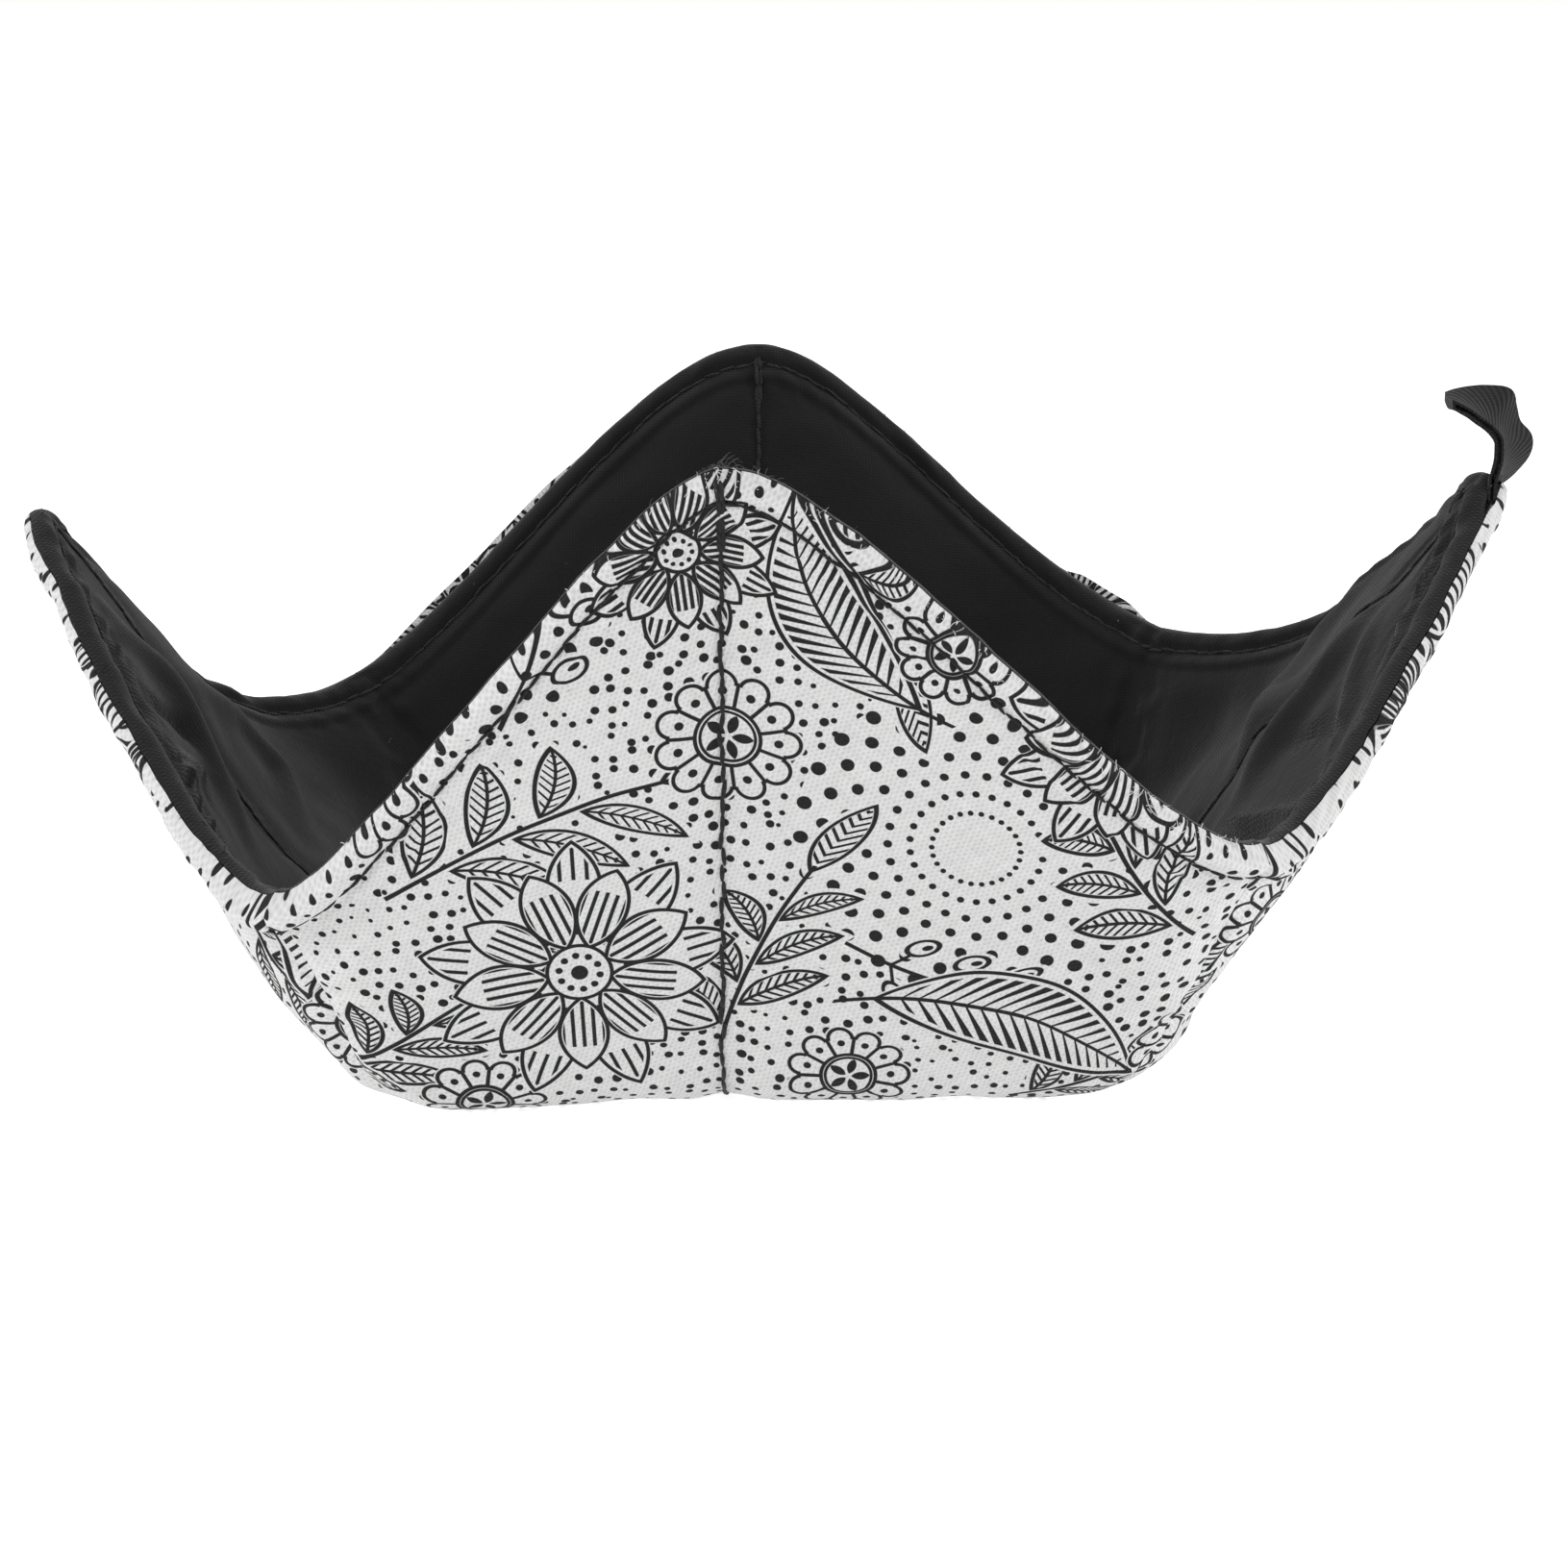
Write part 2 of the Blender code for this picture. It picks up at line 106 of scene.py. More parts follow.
SIDES = ("front", "right", "back", "left")
CORNERS = ("front_left", "front_right", "back_right", "back_left")
LOOP_TURN = 1.5
BASE_HALF = (SQUARE_SIDE / 2 - DART_DEPTH) / math.sqrt(2)
WALL_HALF = LAYER_GAP / 2 + BATTING + LAYER_GAP + CANVAS
STEP = 1e-3
MERGE = 1e-6
UP = np.array((0.0, 0.0, 1.0))
MIDDLE = np.array(QUILT_CROSSING) + UP * WALL_HALF


# ---------------------------------------------------------------- settings


def length(name, description, default):
    return FloatProperty(
        name=name, description=description, default=default, min=0.0, precision=5, unit="LENGTH"
    )


def colour(name, description, default):
    return FloatVectorProperty(
        name=name, description=description, default=default, size=3, min=0, max=1, subtype="COLOR"
    )


class ClothSizes(bpy.types.PropertyGroup):
    """The sewn pieces' own sizes."""

    columns: IntProperty(
        name="Columns", description="How many strips each cover has round the cozy", default=528
    )
    stitch: length("Stitch", "How long one stitch shows", 0.0027)
    stitch_pitch: length("Stitch pitch", "From one stitch to the next", 0.0028)
    thread: length("Thread", "How thick the sewing thread is", 0.00054)
    pucker: length("Pucker", "How far the lining crinkles beside its topstitching", 0.00100)
    weave: length("Weave", "From one canvas yarn to the next, the thick way", 0.00072)
    print_line: length("Print line", "How wide the print's lines are", 0.00060)


class ClothColours(bpy.types.PropertyGroup):
    """The cozy's colours, in linear light."""

    canvas: colour("Canvas", "The outer cloth's ground", (0.795, 0.795, 0.792))
    ink: colour("Ink", "The lines and dots printed on the canvas", (0.010, 0.010, 0.011))
    lining: colour("Lining", "The plain cotton inside", (0.0049, 0.0049, 0.0052))
    ribbon: colour("Ribbon", "The hanging loop", (0.0115, 0.0115, 0.0120))
    thread: colour("Thread", "The topstitching and the quilting", (0.010, 0.010, 0.011))
    batting: colour("Batting", "The wadding between the covers", (0.86, 0.85, 0.82))
    floor: colour("Floor", "The studio floor", (0.90, 0.90, 0.90))


def sizes():
    return bpy.context.scene.bowl_cozy_sizes


def colours():
    return bpy.context.scene.bowl_cozy_colours


# ------------------------------------------------------------- sewn shape


def mixed(a, b, share):
    share = np.asarray(share)
    return a + (b - a) * (share[..., None] if np.ndim(a) > np.ndim(share) else share)


def eased(share):
    share = np.clip(share, 0.0, 1.0)
    return share * share * (3 - 2 * share)


def size_of(vectors):
    return np.linalg.norm(vectors, axis=-1)


def unit(vectors):
    return vectors / np.maximum(size_of(vectors), 1e-12)[..., None]


def heading(turn):
    """The level way out at a turn round the cozy: 0 is the front-left dart, 0.5 the front peak."""
    angle = np.radians(90.0 * np.asarray(turn, float) - 135.0)
    return np.stack([np.cos(angle), np.sin(angle), np.zeros_like(angle)], axis=-1)


def spot(turn, out, around, up):
    return heading(turn) * out + heading(turn + 1) * around + UP * up


def outline_curves(corner_out, side_spots, handles_of):
    """The eight curves from each dart to the middles of its two sides."""
    curves = []
    for half in range(8):
        side = SIDES[half // 2]
        corner = CORNERS[(half + 1) // 2 % 4]
        towards = 1 if half % 2 == 0 else -1
        corner_turn, side_turn = CORNERS.index(corner), SIDES.index(side) + 0.5
        dip_round, slope, peak_round = handles_of(side, corner)
        level, rise = dip_round * math.cos(math.radians(slope)), dip_round * math.sin(math.radians(slope))
        start, end = corner_out(corner), side_spots(side)
        leaving = spot(corner_turn, 0, level * towards, rise)
        arriving = spot(side_turn, 0, -peak_round * towards, 0)
        curves.append((start, start + leaving, end + arriving, end))
    return np.array(curves)


def dip_of(corner):
    lean, around, up = DIPS[corner]
    return spot(CORNERS.index(corner), (BASE_HALF + lean) * math.sqrt(2), around, up)


def peak_of(side):
    lean, around, up = PEAKS[side]
    return spot(SIDES.index(side) + 0.5, BASE_HALF + lean, around, up)


def base_corner_of(corner):
    return spot(CORNERS.index(corner), BASE_HALF * math.sqrt(2), 0, WALL_HALF)


def base_side_of(side):
    bow_out = BASE_CORNER_ROUND * (1 - math.sqrt(0.5))
    return spot(SIDES.index(side) + 0.5, BASE_HALF + bow_out, QUILT_FEET[side], WALL_HALF)


RIM_CURVES = outline_curves(dip_of, peak_of, lambda side, corner: RIM_SWEEPS[side, corner])
BASE_CURVES = outline_curves(
    base_corner_of, base_side_of, lambda side, corner: (BASE_CORNER_ROUND, 0, BASE_SIDE_ROUND)
)


def on_outline(curves, turn):
    turn = np.asarray(turn, float) % 4
    half = np.minimum((turn * 2).astype(int), 7)
    share = turn * 2 - half
    t = np.where(half % 2 == 0, share, 1 - share)[..., None]
    a, b, c, d = (curves[half, i] for i in range(4))
    s = 1 - t
    return a * s**3 + b * (3 * s * s * t) + c * (3 * s * t * t) + d * t**3


def rim_edge(turn):
    return on_outline(RIM_CURVES, turn)


def wall_ends(turn):
    edge = on_outline(BASE_CURVES, turn)
    inward = unit(MIDDLE - edge)
    upward = unit(rim_edge(turn) - edge)
    return edge + inward * BASE_TURN_UP, edge, edge + upward * BASE_TURN_UP


def middle_place(turn, run):
    """Half-way through the padding. Run 0 to 1 is the base, 1 to 2 its turn-up and 2 to 3 the wall."""
    turn, run = np.broadcast_arrays(np.asarray(turn, float), np.asarray(run, float))
    start, edge, end = wall_ends(turn)
    base = mixed(np.broadcast_to(MIDDLE, start.shape), start, np.clip(run, 0, 1))
    share = np.clip(run - 1, 0, 1)
    turn_up = mixed(mixed(start, edge, share), mixed(edge, end, share), share)
    up = np.clip(run - 2, 0, 1)
    side = np.floor(turn % 4).astype(int)
    belly = np.array([WALL_BELLIES[name] for name in SIDES])[side]
    belly = belly * 9.5 * up * (1 - up) ** 3 * np.sin(math.pi * (turn % 1))
    wall = mixed(end, rim_edge(turn), up) + heading(side + 0.5) * belly[..., None]
    return np.where((run <= 1)[..., None], base, np.where((run <= 2)[..., None], turn_up, wall))


def outward(turn, run):
    around = middle_place(turn + STEP, run) - middle_place(turn - STEP, run)
    up = middle_place(turn, np.minimum(3, run + STEP)) - middle_place(turn, run - STEP)
    return np.where((run < STEP)[..., None], -UP, unit(np.cross(around, up)))


def wall_scale(turn):
    """How far from the rim, square to it, a point is for each unit of run below it."""
    along_rim = unit(rim_edge(turn + STEP) - rim_edge(turn - STEP))
    return size_of(np.cross(rim_edge(turn) - wall_ends(turn)[2], along_rim))


def run_below_rim(turn, inset):
    return 3 - inset / wall_scale(turn)


def rim_inset(turn, run):
    return np.where(run <= 2, 1.0, (3 - run) * wall_scale(turn))


def pinch(distance, width=GROOVE_WIDTH):
    return np.exp(-((distance / width) ** 2))


def seam_distances(turn, run):
    """How far a point is from its side's quilted line and from the nearest dart's line."""
    here = middle_place(turn, run)
    quilt = size_of(here - middle_place(np.floor(turn) + 0.5, run))
    return quilt, size_of(here - middle_place(np.round(turn), run))


def padding(turn, run, quilt, dart):
    thick = mixed(BATTING, QUILT_PADDING, pinch(quilt))
    thick = mixed(thick, np.minimum(thick, SEAM_PADDING), pinch(dart) * eased(run - 1))
    inset = rim_inset(turn, run)
    at_rim = eased((TOPSTITCH_INSET - inset) / (TOPSTITCH_INSET - RIM_NOSE))
    shoulder = np.sqrt(eased((inset - TOPSTITCH_INSET) / (PADDING_FULL - TOPSTITCH_INSET)))
    below = mixed(STITCHED_PADDING, thick, shoulder)
    return np.where(inset <= TOPSTITCH_INSET, mixed(STITCHED_PADDING, RIM_PADDING, at_rim), below)


def pocket(turn, run):
    """How far the layers part for the ribbon's tails, at the peak that holds the loop."""
    aside = size_of(rim_edge(turn) - rim_edge(np.full_like(turn, LOOP_TURN)))
    across = 1 - eased((aside - POCKET_WIDTH) / POCKET_FADE)
    down = 1 - eased((rim_inset(turn, run) - RIM_ALLOWANCE) / POCKET_FADE)
    return 0.0008 * across * down


def skin(turn, run, cloth, quilt, dart):
    inset = rim_inset(turn, run)
    under_allowance = 1 - eased((inset - RIM_ALLOWANCE) / (PADDING_SHOULDER - RIM_ALLOWANCE))
    fold = (cloth + LAYER_GAP) * under_allowance
    full = LAYER_GAP / 2 + fold + padding(turn, run, quilt, dart) + LAYER_GAP + cloth
    nose = np.sqrt(np.clip(1 - (1 - np.clip(inset / RIM_NOSE, 0, 1)) ** 2, 0, 1))
    return full * nose


def unevenness(points, wavelength, seed, waves=16):
    """A soft unevenness of about -1 to 1 that the cloth has over such a wavelength."""
    rng = np.random.default_rng(seed)
    ways = unit(rng.normal(size=(waves, 3))) * (math.tau / wavelength * rng.uniform(0.7, 1.4, (waves, 1)))
    return np.sin(points @ ways.T + rng.uniform(0, math.tau, waves)).sum(axis=-1) / math.sqrt(waves)


RIM_TURNS = np.linspace(0, 4, 4001)
RIM_LENGTHS = np.concatenate([[0], np.cumsum(size_of(np.diff(rim_edge(RIM_TURNS), axis=0)))])


def rim_run(turn):
    """How far round the rim a turn is from the front-left dart."""
    return np.interp(turn, RIM_TURNS, RIM_LENGTHS)


# Folds of the lining in the two side walls: the line that each follows as (turn, run) points,
# how high it stands, or how deep it dips, and how wide it is
LINING_FOLDS = (
    (((3.562, 2.835), (3.58, 2.73), (3.567, 2.535), (3.593, 2.41), (3.64, 2.3)), 0.0027, 0.0036),
    (((3.465, 2.61), (3.30, 2.60), (3.27, 2.44), (3.377, 2.225)), 0.0022, 0.0034),
    (((3.71, 2.87), (3.65, 2.68), (3.605, 2.57), (3.603, 2.5)), -0.0021, 0.0016),
    (((1.56, 2.92), (1.70, 2.90), (1.74, 2.75), (1.62, 2.49), (1.415, 2.40)), 0.0026, 0.0046),
    (((1.515, 2.83), (1.50, 2.69), (1.435, 2.615), (1.395, 2.485), (1.367, 2.34)), 0.0027, 0.0036),
    (((1.515, 2.87), (1.518, 2.805), (1.525, 2.74)), -0.0020, 0.0010),
    (((1.348, 2.535), (1.34, 2.57), (1.315, 2.635), (1.232, 2.86)), -0.0018, 0.0013),
    (((1.363, 2.32), (1.245, 2.5), (1.18, 2.7), (1.12, 2.9)), 0.0020, 0.0020),
    (((1.46, 2.75), (1.33, 2.72), (1.20, 2.80)), 0.0013, 0.0016),
    (((3.80, 2.90), (3.72, 2.70), (3.70, 2.50)), 0.0016, 0.0018),
)

# Where the wall stands out from its plain shape, or in: a turn and run, how far and how wide
BULGES = (
    (0.00, 1.60, 0.0024, 0.014),
    (0.00, 1.42, -0.0021, 0.0055),
    (1.05, 1.55, -0.0018, 0.012),
    (1.12, 2.20, -0.0014, 0.026),
    (1.42, 2.45, -0.0018, 0.036),
    (3.60, 2.30, 0.0008, 0.030),
)

# Stretches of the rim from one turn to another where the canvas and the lining stand higher than
# their plain edge, or lower
RIM_SHIFTS = (
    (2.70, 2.99, 0.0016, 0.0),
    (2.01, 2.10, 0.0016, 0.0),
    (3.16, 3.48, -0.0006, -0.0006),
)


def fold(here, line, height, width):
    """A ridge of cloth along a line of places, fading out at both its ends."""
    best = np.full(here.shape[:-1], 1e9)
    along = np.zeros(here.shape[:-1])
    steps = np.concatenate([[0], np.cumsum(size_of(np.diff(line, axis=0)))])
    for i in range(len(line) - 1):
        way = line[i + 1] - line[i]
        share = np.clip(((here - line[i]) @ way) / (way @ way), 0, 1)
        apart = size_of(here - (line[i] + share[..., None] * way))
        nearer = apart < best
        best = np.where(nearer, apart, best)
        along = np.where(nearer, steps[i] + share * (steps[i + 1] - steps[i]), along)
    ends = eased(np.minimum(along, steps[-1] - along) / (steps[-1] * 0.35))
    return height * pinch(best, width) * (0.15 + 0.85 * ends)


def window(turn, start, end, fade=0.3):
    """One between two turns, fading to nought at both."""
    return eased(np.minimum(turn - start, end - turn) / ((end - start) * fade))


def relief(turn, run, face, quilt, dart):
    """How the real cloth stands off its plain shape: puckers at stitching, soft unevenness and folds."""
    here = middle_place(turn, run)
    inset = rim_inset(turn, run)
    turn = turn % 4
    s = rim_run(turn)
    off = unevenness(here, 0.034, 5 + face) * 0.00042 + unevenness(here, 0.013, 15 + face) * 0.00018
    off = off * eased((inset - 0.001) / 0.010)
    at_dart = eased(run - 1)
    off = off - 0.00036 * pinch(quilt, 0.0011) - 0.00062 * pinch(dart, 0.0012) * at_dart
    dimples = unevenness(here, 0.0062, 25 + face) * 0.00034
    off = off + dimples * (1.3 * pinch(dart, 0.0050) * at_dart + 0.5 * pinch(quilt, 0.0030))
    off = off + roping(s, turn, inset, face)
    lumps = unevenness(rim_edge(turn), 0.0080, 35 + face) * 0.00016
    lumps = lumps + unevenness(rim_edge(turn), 0.0032, 55 + face) * (0.00008 if face > 0 else 0.00018)
    off = off + lumps * eased((0.0042 - inset) / 0.002)
    off = off - 0.00038 * pinch(inset - TOPSTITCH_INSET, 0.0009)
    if face > 0:
        for front_dart in (0.0, 1.0, 4.0):
            ledge = pinch(size_of(rim_edge(turn) - rim_edge(np.full_like(turn, front_dart))), 0.018)
            flare = 0.0011 * (1 - eased((inset - 0.0036) / 0.0016)) - 0.0008 * pinch(inset - 0.008, 0.0035)
            off = off + ledge * flare
    else:
        for line, height, width in LINING_FOLDS:
            places = middle_place(np.array([p[0] for p in line]), np.array([p[1] for p in line]))
            off = off + fold(here, places, height, width)
    if face > 0:
        off = mixed(np.minimum(off, 0), off, eased((run - 1.1) / 0.7))
    return off * eased(run * 6 + 0.2) * eased(inset / 0.0016)


def roping(s, turn, inset, face):
    """The slanting ripples that the topstitching pulls into the cloth on its inner side."""
    slanted = s + inset * 0.8
    beat = np.sin(math.tau * slanted / 0.0052 + 1.9 * np.sin(s * 131.0) + 1.3 * np.sin(s * 57.0 + 1.0))
    strength = 0.5 + 0.5 * np.sin(s * 37.0 + 2.0) * np.sin(s * 83.0)
    front_edges = window(turn, 3.50, 4.05, 0.2) + window(turn, 0.98, 1.47, 0.2)
    strength = strength * (0.16 + 0.84 * front_edges if face < 0 else 0.18)
    beside = pinch(np.maximum(inset - 0.0058, 0), 0.0034) * eased((inset - 0.0034) / 0.0022)
    return sizes().pucker * beat * strength * beside


class Wall:
    """The cozy's wall at a grid of turns and runs, from which every layer takes its place."""

    def __init__(self, turn, run):
        self.turn, self.run = np.broadcast_arrays(np.asarray(turn, float), np.asarray(run, float))
        plain = middle_place(self.turn, self.run)
        self.inset = rim_inset(self.turn, self.run)
        self.out = outward(self.turn, self.run)
        self.middle = plain + self.sway(plain)
        self.quilt, self.dart = seam_distances(self.turn, self.run)
        self.pocket = pocket(self.turn, self.run)
        self.reliefs = {}

    def sway(self, plain):
        """How far the whole wall stands from its plain place: its bulges, and its wavy rim."""
        level = np.zeros(plain.shape[:-1])
        for turn, run, far, wide in BULGES:
            there = middle_place(np.array([turn]), np.array([run]))[0]
            level = level + far * pinch(size_of(plain - there), wide)
        level = level * eased(self.inset / 0.020)
        edge = rim_edge(self.turn)
        wander = unevenness(edge, 0.014, 45) * 0.00022 + unevenness(edge, 0.0042, 46) * 0.00012
        wander = wander * (1 - eased((self.inset - 0.0015) / 0.007))
        return heading(self.turn) * level[..., None] + self.out * wander[..., None]

    def lift(self, face):
        """How far up the wall a cover's edge stands beyond its plain one."""
        turn = self.turn % 4
        up = np.zeros(turn.shape)
        for start, end, canvas, lining in RIM_SHIFTS:
            up = up + window(turn, start, end) * (canvas if face > 0 else lining)
        up = up * (1 - eased(self.inset / 0.009))
        return unit(rim_edge(self.turn) - wall_ends(self.turn)[2]) * up[..., None]

    def depth(self, face):
        """How far a cover's outer face is from the middle of the wall."""
        if face not in self.reliefs:
            cloth = CANVAS if face > 0 else COTTON
            plain = skin(self.turn, self.run, cloth, self.quilt, self.dart)
            uneven = plain + relief(self.turn, self.run, face, self.quilt, self.dart)
            self.reliefs[face] = np.maximum(uneven, np.minimum(plain, 0.0017))
        return self.reliefs[face]

    def place(self, face, depth):
        return self.middle + self.out * (face * (depth + self.pocket))[..., None] + self.lift(face)


def flat_place(turn, run, side):
    """Where a point of the wall lay on the flat square of cloth, in metres, its corners at the peaks."""
    here = middle_place(turn, run)
    edge = on_outline(BASE_CURVES, turn)
    out_way, aside_way = heading(side + 0.5), heading(side + 1.5)
    out, aside = (here * out_way).sum(-1), (here * aside_way).sum(-1)
    foot = np.minimum(out, (edge * out_way).sum(-1))
    out = foot + np.hypot(out - foot, here[..., 2] - WALL_HALF)
    return (out_way * out[..., None] + aside_way * aside[..., None])[..., :2]


def column_turns(count):
    """The turns that the cloth is cut along, closer together near the darts and the quilted lines."""
    half = count // 8
    share = np.arange(half) / half
    share = share - 0.55 * np.sin(math.tau * share) / math.tau
    return np.concatenate([(i + share) / 2 for i in range(8)] + [[4.0]])


def smooth_rows(low, high, count):
    return np.linspace(low, high, count, endpoint=False)


def face_rows(fine=1.0):
    """A cover's rows from the middle of the base to the rim's edge: each one's zone and place in it."""
    rows = [("run", x) for x in smooth_rows(0, 1, int(26 * fine))]
    rows += [("run", x) for x in smooth_rows(1, 2, int(9 * fine))]
    rows += [("wall", x) for x in smooth_rows(0, 1, int(40 * fine))]
    rows += [("rim", x) for x in smooth_rows(PADDING_FULL, TOPSTITCH_INSET, int(16 * fine))]
    rows += [("rim", x) for x in smooth_rows(TOPSTITCH_INSET, RIM_NOSE, int(5 * fine))]
    return rows


def row_runs(rows, turns):
    full = run_below_rim(turns, PADDING_FULL)
    found = []
    for zone, place in rows:
        if zone == "run":
            found.append(np.full_like(turns, place))
        elif zone == "wall":
            found.append(2 + (full - 2) * place)
        else:
            found.append(run_below_rim(turns, place))
    return np.array(found)


def cover_rows():
    """A cover's section: up its face, over the rim, down its turned-in allowance and back inside."""
    nose = [("rim", RIM_NOSE * (1 - math.sin(math.radians(a)))) for a in range(0, 90, 11)]
    rows = [(row, "face") for row in face_rows() + nose]
    rows += [(("rim", 0.0), "seam"), (("rim", RIM_NOSE), "seam"), (("rim", RIM_ALLOWANCE), "seam")]
    rows += [(("rim", RIM_ALLOWANCE), "seam_back"), (("rim", RIM_NOSE), "seam_back")]
    rows += [(("rim", 0.00085), "fold"), (("rim", 0.00335), "inner")]
    rows += [(row, "inner") for row in reversed(face_rows(0.5))]
    return rows


def batting_rows():
    rows = [(row, "inner") for row in face_rows(0.6)]
    rows += [(("rim", 0.00335), "inner"), (("rim", 0.00335), "over"), (("rim", TOPSTITCH_INSET), "over")]
    rows += [(("rim", RIM_ALLOWANCE + LAYER_GAP), "over")]
    rows += [(row, "middle") for row in reversed(face_rows(0.4)) if row[0] != "rim" or row[1] > 0.0075]
    return rows


def lowest_near(depth):
    """The least depth among each place and its neighbours, so that a coarser layer stays in its cover."""
    ring = np.concatenate([depth[:, -2:-1], depth, depth[:, 1:2]], axis=1)
    ring = np.concatenate([ring[:1], ring, ring[-1:]])
    high, wide = depth.shape
    return np.min([ring[i : i + high, j : j + wide] for i in range(3) for j in range(3)], axis=0)


def depths(wall, kinds, face, gap):
    cloth = CANVAS if face > 0 else COTTON
    skin_depth = lowest_near(wall.depth(face)) if gap else wall.depth(face)
    found = {
        "face": skin_depth,
        "inner": skin_depth - cloth - gap,
        "seam": np.full_like(skin_depth, LAYER_GAP / 2),
        "middle": np.full_like(skin_depth, LAYER_GAP / 2),
        "seam_back": np.full_like(skin_depth, LAYER_GAP / 2 + cloth),
        "fold": np.full_like(skin_depth, LAYER_GAP / 2 + cloth * 1.6),
        "over": np.full_like(skin_depth, LAYER_GAP / 2 + cloth + LAYER_GAP),
    }
    return np.array([found[kind][i] for i, kind in enumerate(kinds)])


# ------------------------------------------------------------ mesh helpers


def shown(name, bm, finish, smooth_angle=60):
    """Puts a finished bmesh in the scene as a piece that rides with the cozy."""
    mesh = bpy.data.meshes.new(name)
    bm.to_mesh(mesh)
    bm.free()
    mesh.materials.append(finish)
    mesh.shade_smooth()
    mesh.set_sharp_from_angle(angle=math.radians(smooth_angle))
    piece = bpy.data.objects.new(name, mesh)
    bpy.context.scene.collection.objects.link(piece)
    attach(piece, "root")
    return piece


def sewn_layer(name, rows, columns, face, gap, finish):
    """A closed layer of cloth: a flat grid whose rows are folded round the cozy's wall."""
    turns = column_turns(columns)
    wall = Wall(turns[None, :], row_runs([row for row, kind in rows], turns))
    places = wall.place(face, depths(wall, [kind for row, kind in rows], face, gap))
    bm = bmesh.new()
    bmesh.ops.create_grid(bm, x_segments=len(turns) - 1, y_segments=len(rows) - 1, size=0.5)
    flat = bm.loops.layers.uv.new("flat")
    for vert in bm.verts:
        vert.index = round((vert.co.y + 0.5) * (len(rows) - 1)) * len(turns) + round(
            (vert.co.x + 0.5) * (len(turns) - 1)
        )
    cut = {side: flat_place(wall.turn, wall.run, side).reshape(-1, 2) for side in range(4)}
    for bm_face in bm.faces:
        columns_here = [vert.index % len(turns) for vert in bm_face.verts]
        side = int(turns[min(columns_here)] + 1e-9) % 4
        for loop in bm_face.loops:
            loop[flat].uv = cut[side][loop.vert.index]
    places = places.reshape(-1, 3)
    for vert in bm.verts:
        vert.co = places[vert.index]
    bmesh.ops.remove_doubles(bm, verts=bm.verts, dist=MERGE)
    bmesh.ops.dissolve_degenerate(bm, edges=bm.edges, dist=MERGE)
    bmesh.ops.recalc_face_normals(bm, faces=bm.faces)
    return shown(name, bm, finish)


def surface_path(turn, run, face, lift, shift=0.0):
    """Places along a line on a cover, with the ways along it, aside and out of the cloth."""
    wall = Wall(turn, run)
    out = wall.out * face
    places = wall.place(face, wall.depth(face) + lift)
    along = unit(np.gradient(places, axis=0))
    aside = unit(np.cross(along, out))
    return places + aside * shift, along, aside, np.cross(aside, along)


def evenly(turn, run, pitch, start=0.0):
    """The turns and runs of evenly spaced points along a fine line of them."""
    places = middle_place(turn, run)
    steps = np.concatenate([[0], np.cumsum(size_of(np.diff(places, axis=0)))])
    count = max(1, round((steps[-1] - start) / pitch))
    at = start + (np.arange(count) + 0.5) * (steps[-1] - start) / count
    return np.interp(at, steps, turn), np.interp(at, steps, run)


def add_stitches(bm, path, long, thick, seed, wander=0.12):
    """One flattened spindle of thread for each stitch along a path."""
    rng = np.random.default_rng(seed)
    for place, along, aside, out in zip(*path):
        turned = along + aside * rng.normal(0, wander * 0.6)
        turned = turned / np.linalg.norm(turned)
        across = np.cross(out, turned)
        place = place + across * rng.normal(0, thick * 0.22)
        size = long * rng.uniform(0.90, 1.08)
        matrix = Matrix.Identity(4)
        for axis, way, scale in ((0, turned, size / 2), (1, across, thick / 2), (2, out, thick / 2)):
            for row in range(3):
                matrix[row][axis] = way[row] * scale
        matrix.translation = Vector(place)
        bmesh.ops.create_uvsphere(bm, u_segments=6, v_segments=6, radius=1.0, matrix=matrix @ SPINDLE)


SPINDLE = Matrix.Rotation(math.radians(90), 4, "Y")


# -------------------------------------------------------------- materials


class Term:
    """A value in a material. Arithmetic on it adds the nodes that work it out."""

    def __init__(self, finish, socket):
        self.finish, self.socket = finish, socket

    def math(self, operation, *others, clamp=False):
        return self.finish.math(operation, self, *others, clamp=clamp)

    def __add__(self, other):
        return self.math("ADD", other)

    def __sub__(self, other):
        return self.math("SUBTRACT", other)

    def __rsub__(self, other):
        return self.finish.math("SUBTRACT", other, self)

    def __mul__(self, other):
        return self.math("MULTIPLY", other)

    def __truediv__(self, other):
        return self.math("DIVIDE", other)

    def __rtruediv__(self, other):
        return self.finish.math("DIVIDE", other, self)

    def __abs__(self):
        return self.math("ABSOLUTE")

    def __gt__(self, other):
        return self.math("GREATER_THAN", other)

    def __lt__(self, other):
        return self.math("LESS_THAN", other)

    __radd__ = __add__
    __rmul__ = __mul__

    def wrapped(self, period):
        """The value brought to within half a period of nought."""
        return self.math("WRAP", period / 2, -period / 2)

    def least(self, other):
        return self.math("MINIMUM", other)

    def most(self, other):
        return self.math("MAXIMUM", other)

    def held(self):
        return self.math("ADD", 0.0, clamp=True)


